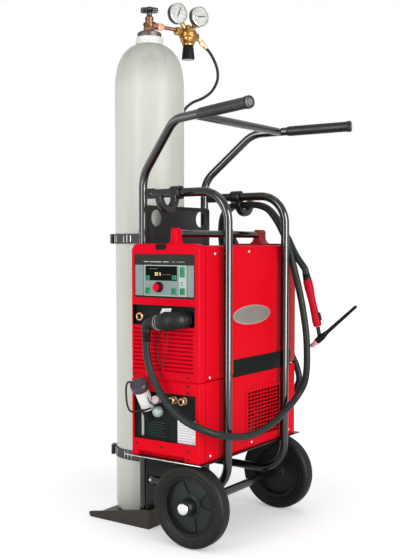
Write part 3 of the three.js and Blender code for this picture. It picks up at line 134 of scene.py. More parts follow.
def hand_over(piece, name, finish, body="trolley", replaces=(), smooth=35):
    """Names a piece, gives it its finish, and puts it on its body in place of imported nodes."""
    settle(piece)
    piece.name = piece.data.name = name
    piece.data.materials.clear()
    piece.data.materials.append(finish.material)
    bpy.ops.object.shade_smooth_by_angle(angle=math.radians(smooth))
    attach(piece, body)
    if replaces:
        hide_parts(*replaces)
    print(f"{name}: {len(piece.data.polygons)} faces, rides on {body}")
    return piece


# %% [markdown]
# ## Four ways to make a shape
# Most of this object is tube, turned work, flat sheet and moulded blocks. A bent tube is a poly
# curve with a round bevel. Turned work is a profile spun about its axis. Sheet and mouldings of
# one outline are a flat curve with a thickness, whose bevel also rounds the edges. A block is a
# cube whose edges are bevelled.

# %% Tubes, turned work, outlines and blocks
def poly_curve(points, dimensions="3D", cyclic=False):
    data = bpy.data.curves.new("outline", "CURVE")
    data.dimensions = dimensions
    add_line(data, points, cyclic)
    piece = bpy.data.objects.new("outline", data)
    bpy.context.scene.collection.objects.link(piece)
    return piece


def add_line(data, points, cyclic):
    line = data.splines.new("POLY")
    line.points.add(len(points) - 1)
    for spot, point in zip(line.points, points):
        x, y, z = (*point, 0)[:3]
        spot.co = (x * MM, y * MM, z * MM, 1)
    line.use_cyclic_u = cyclic


def to_mesh(piece):
    pick(piece)
    bpy.ops.object.convert(target="MESH")
    return clean(bpy.context.object)


def tube(points, radius, sides=20, radii=None):
    """A round bar or tube along points in millimetres, closed at both ends."""
    piece = poly_curve(points)
    piece.data.bevel_depth = radius * MM
    piece.data.bevel_resolution = sides // 4 - 1
    piece.data.use_fill_caps = True
    if radii:
        for spot, share in zip(piece.data.splines[0].points, radii):
            spot.radius = share / radius
    return to_mesh(piece)


def turned(profile, steps=48):
    """A profile of (radius, height) in millimetres, spun about +Z."""
    piece = poly_curve([(radius, 0, height) for radius, height in profile])
    pick(piece)
    bpy.ops.object.convert(target="MESH")
    edit(bpy.context.object)
    bpy.ops.mesh.select_mode(type="VERT")
    bpy.ops.mesh.select_all(action="SELECT")
    bpy.ops.mesh.spin(steps=steps, angle=2 * math.pi, center=(0, 0, 0), axis=(0, 0, 1))
    object_mode()
    return clean(bpy.context.object, 2e-6)


def outlined(points, low, high, edge=0.0, holes=(), plane="XY", segments=2):
    """An outline of millimetres, from low to high across its plane, with rounded edges."""
    piece = poly_curve(points, "2D", cyclic=True)
    data = piece.data
    for hole in holes:
        add_line(data, hole, True)
    data.fill_mode = "BOTH"
    data.extrude = ((high - low) / 2 - edge) * MM
    data.bevel_depth = edge * MM
    data.bevel_resolution = segments
    data.offset = -edge * MM
    middle = (high + low) / 2 * MM
    turns = {
        "XY": Matrix.Identity(4),
        "XZ": Matrix(((1, 0, 0, 0), (0, 0, 1, 0), (0, 1, 0, 0), (0, 0, 0, 1))),
        "YZ": Matrix(((0, 0, 1, 0), (1, 0, 0, 0), (0, 1, 0, 0), (0, 0, 0, 1))),
    }
    piece.matrix_world = turns[plane] @ Matrix.Translation((0, 0, middle))
    to_mesh(piece)
    return clean(settle(piece))


def block(low, high, edge=1.0, segments=2):
    """A box between two corners in millimetres, with bevelled edges."""
    low, high = mm(*low), mm(*high)
    deselect()
    bpy.ops.mesh.primitive_cube_add(size=1, location=(low + high) / 2)
    piece = bpy.context.object
    piece.scale = high - low
    settle(piece)
    if edge:
        bevel = piece.modifiers.new("edges", "BEVEL")
        bevel.width = edge * MM
        bevel.segments = segments
        apply_modifiers(piece)
    return piece


# %% [markdown]
# ## Outlines, bends and places
# The outlines are lists of points that small helpers work out: an arc, a rectangle with round
# corners, a ring, and the centre line of a bent tube. Other helpers lay a shape along a line, set
# it to one side of the trolley, or cut it with others.

# %% Outlines, bends and places
MOST_FLATS = 8  # a bar with more sides than this is round
FLAT_EDGE = 0.8


def arc(centre, radius, start, end, count=8):
    """Points on an arc; the angles are degrees."""
    return [
        (centre[0] + radius * math.cos(math.radians(start + (end - start) * i / count)),
         centre[1] + radius * math.sin(math.radians(start + (end - start) * i / count)))
        for i in range(count + 1)
    ]


def rounded(a0, a1, b0, b1, radius, count=6):
    r = radius
    return [*arc((a1 - r, b0 + r), r, -90, 0, count), *arc((a1 - r, b1 - r), r, 0, 90, count),
            *arc((a0 + r, b1 - r), r, 90, 180, count), *arc((a0 + r, b0 + r), r, 180, 270, count)]


def ring(centre, radius, count=32):
    return arc(centre, radius, 0, 360, count)[:-1]


def bent(corners, bends, step=5):
    """The centre line of a tube: straight runs joined by bends of the given radii."""
    corners = [Vector(c) for c in corners]
    line = [corners[0]]
    for before, corner, after, radius in zip(corners, corners[1:], corners[2:], bends):
        a, b = (corner - before).normalized(), (after - corner).normalized()
        angle = a.angle(b)
        start = corner - a * radius * math.tan(angle / 2)
        inward = (b - a * math.cos(angle)).normalized()
        count = max(2, round(math.degrees(angle) / step))
        for k in range(count + 1):
            turn = angle * k / count
            line.append(start + a * radius * math.sin(turn) + inward * radius * (1 - math.cos(turn)))
    return [tuple(p) for p in [*line, corners[-1]]]


def aim(piece, start, end):
    """Moves a piece made along +Z so that it runs from start towards end, in millimetres."""
    start, end = mm(*start), mm(*end)
    turn = (end - start).to_track_quat("Z", "Y").to_matrix().to_4x4()
    piece.matrix_world = Matrix.Translation(start) @ turn
    return settle(piece)


def spun(profile, steps, start, end):
    """Turned work with its foot at start and its axis towards end."""
    return aim(turned(profile, steps), start, end)


def rod(start, end, radius, sides=24, edge=0.0):
    """A round bar, or one with few flats, between two points in millimetres."""
    length = (Vector(end) - Vector(start)).length
    if sides <= MOST_FLATS:
        return aim(outlined(ring((0, 0), radius, sides), 0, length, edge or FLAT_EDGE), start, end)
    wall = [(radius, 0), (radius, length)]
    if edge:
        wall = [(radius - edge, 0), (radius, edge), (radius, length - edge), (radius - edge, length)]
    return spun([(0, 0), *wall, (0, length)], sides, start, end)


def shift(piece, x):
    """Moves a piece along +X, in millimetres."""
    piece.matrix_world = Matrix.Translation(mm(x, 0, 0)) @ piece.matrix_world
    return settle(piece)


def mirrored(piece, sign=-1):
    """Puts a piece on the side of the trolley's middle that the sign tells."""
    piece.scale = (1, sign, 1)
    return clean(settle(piece))


def cut_away(piece, *tools):
    for tool in tools:
        knife = piece.modifiers.new("cut", "BOOLEAN")
        knife.object = tool
        knife.operation = "DIFFERENCE"
        knife.solver = "EXACT"
        apply_modifiers(piece)
        bpy.data.objects.remove(tool)
    return piece


# %% [markdown]
# ## The free hoses
# A free hose has a real length, so its route is fixed before anything else is drawn. The route
# could be a handful of bezier handles, but one smooth curve through listed points is easier to
# check against the imported model. The same points lie in the part's source. A centripetal
# curve keeps its bends even where the points are unevenly spaced.

# %% Routes of the two hoses
HOSE_RADIUS = 11
HOSE_ROUTE = [
    (238, -322, 639.7), (238, -322, 607), (239, -321, 570), (250, -320, 527), (269, -320, 490),
    (296, -320, 454), (332, -323, 421), (372, -322, 394), (408, -312, 376), (438, -285, 359),
    (455, -245, 345), (460, -190, 332), (459, -105, 321), (457, -20, 326), (456, 61, 343),
    (458, 130, 370), (465, 185, 405), (480, 197, 442), (488, 197, 486), (489, 197, 540),
    (486, 197, 600), (477, 197, 660), (464, 197, 725), (445, 197, 796), (426, 197, 860),
    (404, 197, 918), (372, 198, 972), (336, 201, 1009), (290, 204, 1024), (236, 204.6, 1025),
    (190, 208, 1022), (150, 222, 998), (118, 252, 948), (98, 290, 880), (100, 322, 800),
    (120, 333, 700), (155, 334, 590), (200, 334, 480), (245, 333, 400), (300, 332, 366),
    (355, 330, 378), (388, 329, 425), (382, 328, 468), (361, 327, 513), (328, 327, 570),
    (285, 328, 660), (230, 330, 745), (178, 330, 822), (140, 320, 885), (126, 294, 945),
    (140, 260, 994), (180, 233, 1021), (218, 227.4, 1025), (254, 227.4, 1025), (290, 227.4, 1024),
    (326, 226, 1010), (358, 224, 980), (386, 222.5, 938), (408, 222, 902), (424, 222, 872),
    (441, 222, 845), (456.5, 222, 826), (466.2, 222, 812.5), (470.2, 222, 797),
]
GAS_RADIUS = 5
GAS_ROUTE = [
    (76.2, 220.3, 1568.7), (80.5, 233.5, 1558), (86.5, 251, 1535), (92, 266, 1500), (92, 266, 1465),
    (84, 244, 1425), (70, 210, 1398), (52, 170, 1378), (38, 145, 1352), (32, 136, 1312),
    (30, 134, 1240), (30, 134, 1100), (33, 142, 990), (48, 188, 900), (80, 240, 835), (120, 278, 780),
    (165, 293, 735), (198, 293.5, 695), (210, 293, 662), (210, 293, 640.3),
]


def smooth_route(points, per_span=6):
    """A centripetal curve through the points."""
    points = [Vector(p) for p in points]
    points = [2 * points[0] - points[1], *points, 2 * points[-1] - points[-2]]
    line = []
    for p0, p1, p2, p3 in zip(points, points[1:], points[2:], points[3:]):
        d0, d1, d2 = (max(math.sqrt((b - a).length), 1e-4) for a, b in ((p0, p1), (p1, p2), (p2, p3)))
        m1 = ((p1 - p0) / d0 - (p2 - p0) / (d0 + d1) + (p2 - p1) / d1) * d1
        m2 = ((p2 - p1) / d1 - (p3 - p1) / (d1 + d2) + (p3 - p2) / d2) * d1
        for k in range(per_span):
            t = k / per_span
            a, b = 2 * t**3 - 3 * t**2 + 1, t**3 - 2 * t**2 + t
            line.append(p1 * a + m1 * b + p2 * (1 - a) + m2 * (t**3 - t**2))
    return [tuple(p) for p in [*line, points[-2]]]


def route_length(line):
    return sum((Vector(b) - Vector(a)).length for a, b in zip(line, line[1:])) * MM


hose_line = smooth_route(HOSE_ROUTE)
gas_line = smooth_route(GAS_ROUTE)
hose_piece = tube(hose_line, HOSE_RADIUS, 20)
gas_piece = tube(gas_line, GAS_RADIUS, 12)
print("hose pack:", round(route_length(hose_line), 3), "m, gas hose:", round(route_length(gas_line), 3),
      "m")

# %% [markdown]
# ## Writing finishes as expressions
# A finish is a small tree of nodes. Wired by hand in code it is hard to read, so one class wraps
# an output socket and gives it Python's arithmetic: `1 - wear` adds the Math node itself. Any
# other node is added by one method that takes its type, its settings and its inputs. Colours are
# mixed with Mix nodes, because a Math node would turn them grey. The sky is a tree of nodes too,
# so the same methods serve it.

# %% A wrapped socket, a tree and a finish
class Value:
    """An output socket with Python's arithmetic."""

    def __init__(self, owner, socket):
        self.owner, self.socket = owner, socket

    def _math(self, operation, *values):
        return self.owner.node("Math", {"operation": operation}, dict(enumerate(values)))

    def __add__(self, other):
        return self._math("ADD", self, other)

    def __sub__(self, other):
        return self._math("SUBTRACT", self, other)

    def __mul__(self, other):
        return self._math("MULTIPLY", self, other)

    def __rsub__(self, other):
        return self._math("SUBTRACT", other, self)

    __radd__, __rmul__ = __add__, __mul__

    def over(self, edge, softness=0.02):
        """0 below the edge and 1 above it."""
        return self.owner.node("MapRange", {"interpolation_type": "SMOOTHSTEP"},
                               {"Value": self, "From Min": edge - softness,
                                "From Max": edge + softness})


class Tree:
    """The nodes of a material or a world, with one method that adds any node."""

    def __init__(self, owner):
        owner.use_nodes = True
        self.nodes, self.links = owner.node_tree.nodes, owner.node_tree.links

    def feed(self, socket, value):
        if isinstance(value, Value):
            self.links.new(value.socket, socket)
        else:
            socket.default_value = value

    def node(self, kind, settings=None, inputs=None, out=0):
        made = self.nodes.new("ShaderNode" + kind)
        for key, value in (settings or {}).items():
            setattr(made, key, value)
        for key, value in (inputs or {}).items():
            self.feed(made.inputs[key], value)
        return Value(self, made.outputs[out])

    def seen(self):
        """Above 0 for rays from the camera, off a mirror and through glass."""
        straight, mirrored_ray, through = (self.node("LightPath", out=f"Is {kind} Ray")
                                           for kind in ("Camera", "Glossy", "Transmission"))
        return straight + mirrored_ray + through


class Finish(Tree):
    def __init__(self, name, slot, color, roughness=0.5, metallic=0.0, **sockets):
        self.slot = slot
        self.material = bpy.data.materials.new(name)
        super().__init__(self.material)
        self.shader = self.nodes["Principled BSDF"]
        self.set("Base Color", (*color, 1))
        self.set("Roughness", roughness)
        self.set("Metallic", metallic)
        for key, value in sockets.items():
            self.set(key.replace("_", " "), value)
        self.material.diffuse_color = (*color, 1)

    def set(self, socket, value):
        self.feed(self.shader.inputs[socket], value)

    def place(self, scale=(1, 1, 1)):
        at = self.node("TexCoord", out="Object")
        return self.node("Mapping", {}, {"Vector": at, "Scale": scale})

    def noise(self, scale, detail=4, roughness=0.5, stretch=(1, 1, 1)):
        return self.node("TexNoise", {}, {"Vector": self.place(stretch), "Scale": scale,
                                          "Detail": detail,
                                          "Roughness": roughness})

    def blend(self, mask, a, b):
        a, b = (v if isinstance(v, Value) else (*v, 1) for v in (a, b))
        return self.node("Mix", {"data_type": "RGBA"}, {0: mask, 6: a, 7: b}, out=2)

    def split(self):
        at = self.node("TexCoord", out="Object")
        return [self.node("SeparateXYZ", {}, {0: at}, out=axis) for axis in range(3)]

    def bump(self, height, strength=0.3, distance=0.0005):
        relief = self.node("Bump", {}, {"Height": height, "Strength": strength, "Distance": distance})
        self.set("Normal", relief)


# %% [markdown]
# ## Paint, plastic and rubber
# Stove enamel on the tubes is nearly a mirror with a faint ripple. The red sheet is powder
# coated, which shows as a fine orange peel. Moulded plastic has a spark-eroded grain. On each,
# large soft patches change the colour a little and small ones the roughness, because no real
# surface is one even value. How much a finish mirrors is set apart from its roughness: the tubes
# need a crisp bright line, and the red must stay deep red beside a bright lamp.

# %% Sheet-metal and plastic finishes
def lively(finish, color, spread=0.12, scale=9, rough=0.4, rough_spread=0.1):
    """Gives a finish slow changes of colour and faster changes of roughness."""
    dark = tuple(c * (1 - spread) for c in color)
    light = tuple(min(1, c * (1 + spread)) for c in color)
    finish.set("Base Color", finish.blend(finish.noise(scale), dark, light))
    finish.set("Roughness", finish.noise(scale * 6, 6) * rough_spread + (rough - rough_spread / 2))
    return finish


def grained(name, slot, color, rough, grain=900, strength=0.25, spread=0.12, mirror=0.5):
    """A paint or plastic with a fine grain; mirror is how much of the surroundings it shows."""
    finish = lively(Finish(name, slot, color, rough, Specular_IOR_Level=mirror), color, spread,
                    rough=rough)
    finish.bump(finish.noise(grain, 2), strength, 0.0003)
    return finish


SOFT, MATT = 0.2, 0.03  # moulded plastic and rubber mirror little
enamel = grained("black_enamel", "frame_paint", (0.009, 0.010, 0.009), 0.34, grain=60, strength=0.03,
                 mirror=0.22)
shoe_enamel = grained("shoe_enamel", "frame_paint", (0.026, 0.021, 0.017), 0.4, grain=60, strength=0.05,
                      spread=0.2, mirror=0.25)
tube_enamel = grained("tube_enamel", "frame_paint", (0.006, 0.006, 0.005), 0.15, grain=60,
                      strength=0.02, mirror=0.5)
red_coat = grained("red_powder_coat", "red_paint", (0.70, 0.0018, 0.012), 0.42, grain=420,
                   strength=0.12, spread=0.04, mirror=MATT)
red_moulding = grained("red_moulding", "red_plastic", (0.69, 0.0020, 0.015), 0.36, grain=700,
                       strength=0.1, spread=0.04, mirror=MATT)
rear_red = grained("rear_moulding", "red_plastic", (0.42, 0.004, 0.016), 0.45, grain=700, strength=0.1,
                   spread=0.08, mirror=SOFT)
dark_red = grained("red_shaded_moulding", "red_plastic", (0.42, 0.003, 0.010), 0.45, strength=0.15,
                   mirror=MATT)
knob_maroon = grained("knob_maroon", "red_plastic", (0.045, 0.003, 0.005), 0.45, mirror=MATT)
torch_red = grained("torch_red", "red_plastic", (0.52, 0.003, 0.022), 0.38, grain=700, strength=0.1,
                    spread=0.08, mirror=MATT)
black_moulding = grained("black_moulding", "black_plastic", (0.006, 0.0075, 0.007), 0.42, mirror=0.08)
glossy_black = grained("glossy_black_moulding", "black_plastic", (0.006, 0.007, 0.006), 0.28,
                       strength=0.05, mirror=0.3)
grip_rubber = grained("grip_rubber", "grip_rubber", (0.008, 0.0075, 0.006), 0.38, strength=0.12,
                      mirror=0.25)
grip_dot = grained("grip_end_dot", "grip_rubber", (0.09, 0.09, 0.085), 0.4)
boot_rubber = grained("boot_rubber", "boot_rubber", (0.010, 0.012, 0.011), 0.42, grain=500,
                      strength=0.25, mirror=0.12)
hose_rubber = grained("hose_rubber", "hose_rubber", (0.019, 0.025, 0.022), 0.42, grain=350,
                      strength=0.25, spread=0.2, mirror=0.08)
tyre_rubber = grained("tyre_rubber", "tyre_rubber", (0.014, 0.0135, 0.0115), 0.5, grain=500,
                      strength=0.25, spread=0.25, mirror=0.09)
rim_moulding = grained("rim_moulding", "rim_plastic", (0.010, 0.014, 0.012), 0.38, spread=0.2,
                       mirror=SOFT)
panel_film = grained("panel_film", "panel_plastic", (0.22, 0.28, 0.265), 0.45, spread=0.06, mirror=SOFT)
panel_dark = grained("panel_dark_strip", "panel_plastic", (0.032, 0.032, 0.029), 0.5, spread=0.2,
                     mirror=MATT)
panel_pale = grained("panel_pale_line", "panel_plastic", (0.42, 0.49, 0.455), 0.45, spread=0.06,
                     mirror=SOFT)
panel_line = grained("panel_dark_line", "panel_plastic", (0.05, 0.06, 0.06), 0.5, mirror=SOFT)
screen_dark = grained("screen_glass", "panel_plastic", (0.004, 0.005, 0.004), 0.3, strength=0.02,
                      mirror=MATT)
key_green = grained("key_green", "button_plastic", (0.010, 0.21, 0.095), 0.4, spread=0.2, mirror=SOFT)
key_mark = grained("key_mark", "button_plastic", (0.004, 0.035, 0.02), 0.45, mirror=SOFT)
key_pale = grained("key_pale", "button_plastic", (0.40, 0.50, 0.44), 0.45, spread=0.08, mirror=SOFT)
white_moulding = grained("white_moulding", "white_plastic", (0.80, 0.80, 0.78), 0.38, spread=0.03)
clear_moulding = grained("frosted_moulding", "white_plastic", (0.36, 0.41, 0.39), 0.35, spread=0.2)
pink_moulding = grained("frosted_head", "white_plastic", (0.62, 0.52, 0.54), 0.35, spread=0.12)
cap_purple = grained("cap_moulding", "black_plastic", (0.055, 0.045, 0.066), 0.4, spread=0.15,
                     mirror=SOFT)
label_white = grained("label_white", "white_plastic", (0.74, 0.74, 0.76), 0.5, spread=0.04)
label_ink = grained("label_ink", "white_plastic", (0.30, 0.30, 0.31), 0.6, spread=0.2)
badge_grey = grained("badge_grey", "panel_plastic", (0.20, 0.185, 0.16), 0.4, spread=0.1)
badge_rim = grained("badge_rim", "panel_plastic", (0.36, 0.30, 0.25), 0.35)
# This black is the real side strip and plain field, and painted shade in the notch and behind the
# perforated sheet.
strip_black_and_shade = grained("strip_black_and_shade", "black_plastic", (0.009, 0.011, 0.009), 0.5, mirror=MATT)
needle_black = grained("needle_black", "needle_paint", (0.004, 0.004, 0.004), 0.5)
ceramic = grained("pink_ceramic", "nozzle_ceramic", (0.78, 0.33, 0.40), 0.4, spread=0.08)
gauge_paint = grained("gauge_case", "gauge_case", (0.015, 0.016, 0.014), 0.3, strength=0.1, mirror=SOFT)

# %% [markdown]
# ## Metals
# Brass on a regulator is never one yellow: it is tarnished brown in its corners and bright where
# hands touch it. A noise mixes the two colours and also the roughness, so the bright parts are
# the smooth ones too. Chrome and zinc are made the same way, from two near greys.

# %% Metal finishes
def tarnished(name, slot, bright, dull, rough=0.28, scale=70):
    finish = Finish(name, slot, bright, rough, 1.0)
    mask = finish.noise(scale, 6, 0.6).over(0.5, 0.16)
    finish.set("Base Color", finish.blend(mask, dull, bright))
    finish.set("Roughness", (1 - mask) * 0.25 + rough)
    finish.bump(finish.noise(scale * 8, 3), 0.12, 0.0003)
    return finish


brass = tarnished("regulator_brass", "valve_brass", (0.34, 0.19, 0.055), (0.10, 0.048, 0.017))
pale_brass = tarnished("fitting_brass", "valve_brass", (0.58, 0.41, 0.21), (0.38, 0.22, 0.10), 0.26)
bronze = tarnished("valve_bronze", "valve_brass", (0.17, 0.08, 0.045), (0.045, 0.026, 0.019), 0.38)
stem_copper = tarnished("stem_copper", "valve_brass", (0.28, 0.11, 0.075), (0.07, 0.035, 0.026), 0.32)
collar_brown = tarnished("collar_brown", "valve_brass", (0.095, 0.072, 0.07), (0.040, 0.030, 0.029),
                         0.42)
copper = tarnished("nut_copper", "valve_brass", (0.68, 0.38, 0.28), (0.46, 0.23, 0.15), 0.28)
chrome = tarnished("axle_chrome", "axle_chrome", (0.82, 0.83, 0.82), (0.60, 0.61, 0.60), 0.07, 30)
zinc = tarnished("zinc_screws", "axle_chrome", (0.72, 0.72, 0.70), (0.45, 0.45, 0.44), 0.25, 90)
bare_edge = tarnished("worn_edge", "axle_chrome", (0.58, 0.58, 0.56), (0.30, 0.30, 0.29), 0.3, 120)
print("finishes so far:", len(bpy.data.materials))

# %% [markdown]
# ## The cylinder's paint
# The cylinder is a pale grey-green lacquer over steel. It has stood outside: faint runs go down
# the wall and the lacquer is uneven. The shoulder turns grey brown towards the neck in blotches,
# partly pinkish brown stains and partly painted shade on the top of the dome.
# Painting a picture for it would do, but height and stretched noise give the same without one.

# %% Cylinder finish
def cylinder_finish():
    pale, green, stain_and_shade = (0.62, 0.64, 0.585), (0.585, 0.605, 0.54), (0.29, 0.26, 0.23)
    finish = Finish("cylinder_lacquer", "cylinder_paint", pale, 0.36, Specular_IOR_Level=0.08)
    x, y, z = finish.split()
    runs = finish.noise(14, 5, 0.6, (1, 1, 0.06))
    body = finish.blend(runs.over(0.52, 0.12), green, pale)
    # Stains and painted shade: the colour turns grey brown from the shoulder up to the neck.
    shoulder = finish.node("MapRange", {}, {"Value": z, "From Min": 1.40, "From Max": 1.57})
    marks = finish.noise(22, 6, 0.65, (1, 1, 0.5)).over(0.56, 0.1)
    finish.set("Base Color", finish.blend((marks * 0.35 + 0.6) * shoulder, body, stain_and_shade))
    finish.set("Roughness", finish.noise(40, 5) * 0.18 + 0.26)
    finish.bump(finish.noise(25, 6), 0.18, 0.0008)
    return finish


lacquer = cylinder_finish()
neck_white = grained("neck_ring_paint", "cylinder_paint", (0.72, 0.74, 0.71), 0.4, grain=120,
                     spread=0.12)


# %% [markdown]
# ## Webbing
# A cargo strap is woven, with fine ribs along and across it. A picture of cloth could be laid on
# it, but two wave textures, one up and one across, make the ribs as a bump at any size, and tint
# the colour a little.

# %% Webbing finish
def webbing_finish():
    finish = Finish("strap_webbing", "strap_webbing", (0.02, 0.02, 0.022), 0.75)
    across = finish.node("TexWave", {"bands_direction": "Z"},
                         {"Vector": finish.place(), "Scale": 130.0})
    along = finish.node("TexWave", {"bands_direction": "Y"}, {"Vector": finish.place(), "Scale": 90.0})
    weave = across * along
    finish.set("Base Color", finish.blend(weave, (0.008, 0.008, 0.009), (0.035, 0.036, 0.035)))
    finish.bump(weave, 0.5, 0.0006)
    return finish


webbing = webbing_finish()

# %% [markdown]
# ## Hoses, dressed
# The two tubes made above now get their rubber. The torch's hose pack hangs from its plug on the
# front, over the far hook, in a loop behind the case and over the hook again.

# %% Dress the hoses
hand_over(gas_piece, "gas_hose_rubber", boot_rubber, replaces=["gas_hose"], smooth=60)
hand_over(hose_piece, "hose_pack_sleeve", hose_rubber, replaces=["hose_pack"], smooth=60)

# %% [markdown]
# ## Trolley tubes
# The frame is 27 mm tube. Each post rises from the shoe, leans out at the shoulder and ends as a
# push handle. Each hoop runs out over the case, down past it and back below it. A curve with a
# bevel gives true bends. The hoop's top end narrows to a flat tab that is bolted to its post, and
# its lower end is a flat foot with a bolt.

# %% Posts, handles, hoops and crossbar
TUBE = 13.45  # the outer radius
POST_Y = 168
HANDLE = [(105, POST_Y, 4.3), (105, POST_Y, 1105), (265, 221, 1262), (580, 309, 1274)]
HOOP_TOP, HOOP_BOTTOM, PLATE_X = 1050, 151.54, 118.75


def post_piece():
    return tube(bent(HANDLE, [90, 90]), TUBE, 28)


def hoop_piece():
    line = bent([(148, POST_Y, HOOP_TOP), (422, POST_Y, HOOP_TOP), (422, POST_Y, HOOP_BOTTOM),
                 (148, POST_Y, HOOP_BOTTOM)],
                [92, 90])
    bar = tube(line, TUBE, 28)
    neck = tube([(156, POST_Y, HOOP_TOP), (140, POST_Y, HOOP_TOP)], TUBE, 28, [TUBE, 9])
    tab = outlined(rounded(PLATE_X, 156, HOOP_TOP - 16, HOOP_TOP + 16, 7), POST_Y - 4.5, POST_Y + 4.5,
                   1.5, plane="XZ")
    foot = block((PLATE_X + 3.3, POST_Y - 2.5, HOOP_BOTTOM - 12), (154, POST_Y + 2.5, HOOP_BOTTOM + 12),
                 1)
    return fuse(bar, neck, tab, foot)


def bolt_head(radius=6.5, height=5):
    return turned([(0, 0), (radius, 0), (radius, height * 0.5), (radius * 0.7, height * 0.85),
                   (0, height)], 20)


for side, sign in (("front", -1), ("rear", 1)):
    post, hoop = mirrored(post_piece(), sign), mirrored(hoop_piece(), sign)
    hand_over(post, f"post_{side}_tube", tube_enamel, replaces=[f"post_{side}"], smooth=60)
    hand_over(hoop, f"hoop_{side}_tube", tube_enamel, replaces=[f"hoop_{side}"])
    bolt = aim(bolt_head(), (131, sign * 172.5, HOOP_TOP), (131, sign * 200, HOOP_TOP))
    hand_over(bolt, f"hoop_{side}_bolt", enamel)
    low_bolt = aim(bolt_head(5), (133, sign * 170.5, HOOP_BOTTOM), (133, sign * 200, HOOP_BOTTOM))
    hand_over(low_bolt, f"hoop_{side}_low_bolt", zinc)

cross = rod((355, -240, 1265.4), (355, 240, 1265.4), TUBE - 1, 28)
hand_over(cross, "crossbar_tube", tube_enamel, replaces=["handle_crossbar"], smooth=60)
for sign in (-1, 1):
    bolt = aim(bolt_head(5, 4), (357, sign * 246, 1277.5), (357, sign * 246, 1300))
    hand_over(bolt, f"crossbar_bolt_{'front' if sign < 0 else 'rear'}", zinc)

# %% [markdown]
# ## Grips
# Each grip is a soft, smooth sleeve pushed over the handle, with a thicker bead at its closed
# end and a pale dot in the middle of that end. Both are turned work, so each is one profile.

# %% Grips
GRIP_LENGTH = 208
GRIP_PROFILE = [(13.7, 0), (14.2, 0.3), (15.4, 3), (16.2, 10), (16.4, 100), (16.4, 196), (17.6, 199),
                (17.9, 201), (17.9, 209.5), (17, 212.3), (14, 213.3), (0, 213.3)]
handle_end = Vector(HANDLE[3])
handle_back = (handle_end - Vector(HANDLE[2])).normalized()
for side, sign in (("front", -1), ("rear", 1)):
    start = handle_end - handle_back * GRIP_LENGTH
    flip = Vector((1, sign, 1))
    sleeve = spun(GRIP_PROFILE, 40, start * flip, handle_end * flip)
    hand_over(sleeve, f"grip_{side}_sleeve", grip_rubber, replaces=[f"grip_{side}"])
    dot = spun([(0, 213.2), (10, 213.2), (9.4, 213.9), (0, 214.1)], 32, start * flip, handle_end * flip)
    hand_over(dot, f"grip_{side}_end_dot", grip_dot)

# %% [markdown]
# ## Back plate, shelf edge and hooks
# The plate behind the cylinder is sheet with two round holes. The front edge of the shelf is cut
# bare and catches the light. The hooks are moulded: a clip snaps round the hoop, and an open
# half ring outside it holds the hoses. Both have one outline, so each is a thick outline with
# rounded edges. The half ring is cut where the hoop's tube passes.

# %% Plate, edge and hooks
plate = outlined(rounded(-175, 175, 172, 1015, 12), PLATE_X, PLATE_X + 3, 0.7,
                 [ring((y, 976), 26) for y in (-121, 121)], "YZ")
hand_over(plate, "back_plate_sheet", enamel, replaces=["back_plate"])
edge = block((123, -286, 253.9), (407.5, -284.8, 256.6), 0.3)
hand_over(edge, "shelf_bare_edge", bare_edge)


def hook_piece(x0, x1):
    y, z = 216, 1036
    bore = ring((POST_Y, HOOP_TOP), 13.9, 32)
    clip = outlined(ring((POST_Y, HOOP_TOP), 20.5, 40), x0, x1, 1.6, [bore], "YZ")
    shape = [*arc((y, z), 48, 180, 360, 28), (y + 47.5, z + 3), (y + 45, z + 5), (y + 31, z + 5),
             (y + 28.5, z + 3),
             *arc((y, z), 28, 360, 180, 20), (y - 28, z + 9), (y - 48, z + 9)]
    hook = outlined(shape, x0 + 8, x1 - 8, 2, plane="YZ", segments=3)
    hook = cut_away(hook, tube([(x0 - 20, POST_Y, HOOP_TOP), (x1 + 20, POST_Y, HOOP_TOP)], 13.9, 32))
    rib = outlined([*arc((y, z), 49.4, 200, 340, 24), *arc((y, z), 47, 340, 200, 24)], x0 + 15.5,
                   x1 - 15.5, 0.4, plane="YZ")
    knob = rod((x0 + 18, POST_Y - 17, HOOP_TOP), (x0 + 18, POST_Y - 24.5, HOOP_TOP), 6.5, 24, 1)
    return fuse(clip, hook, rib, knob)


hand_over(mirrored(hook_piece(218, 254)), "hanger_front_hook", glossy_black, replaces=["hanger_front"])
hand_over(hook_piece(218, 254), "hanger_rear_hook", glossy_black, replaces=["hanger_rear"])


# %% [markdown]
# ## Straps and buckles
# Two straps hold the cylinder against the plate. Each is a band that hugs the wall for half a
# turn and then runs straight back. The buckle is a lever with grooves for the thumb. Its corner
# at the pin is round, so that it clears the band when it swings open. Pale metal teeth on the
# band beside the buckle catch the light.

# %% Straps and buckles
CYLINDER = 114.5  # the outer radius


def strap_piece(z):
    inner, outer, end = CYLINDER + 0.6, CYLINDER + 3.6, 118.4
    shape = [(end, outer), *arc((0, 0), outer, 90, 270, 48), (end, -outer), (end, -inner),
             *arc((0, 0), inner, 270, 90, 48), (end, inner)]
    band = outlined(shape, z - 16, z + 16, 0.6)
    feet = [block((115.4, s * 123 - 8.5, z - 16), (118.4, s * 123 + 8.5, z + 16), 0.8) for s in (-1, 1)]
    return fuse(band, *feet)


def buckle_piece(z):
    shape = [*arc((123, -13), 4, 180, 270, 6), *arc((124, -9), 8, 270, 360, 8),
             *arc((128, 13), 4, 0, 90, 6),
             *arc((123, 13), 4, 90, 180, 6)]
    body = outlined(shape, z - 16, z + 16, 1.2)
    slots = [block((129.8, y - 1.6, z - 14), (134, y + 1.6, z + 14), 0) for y in (-8, -2, 4, 10)]
    lever = cut_away(body, *slots)
    pin = rod((123, -13, z - 17), (123, -13, z + 17), 2.6, 16)
    piece = fuse(lever, pin)
    piece.rotation_euler = (0, 0, math.radians(215))
    return settle(piece)


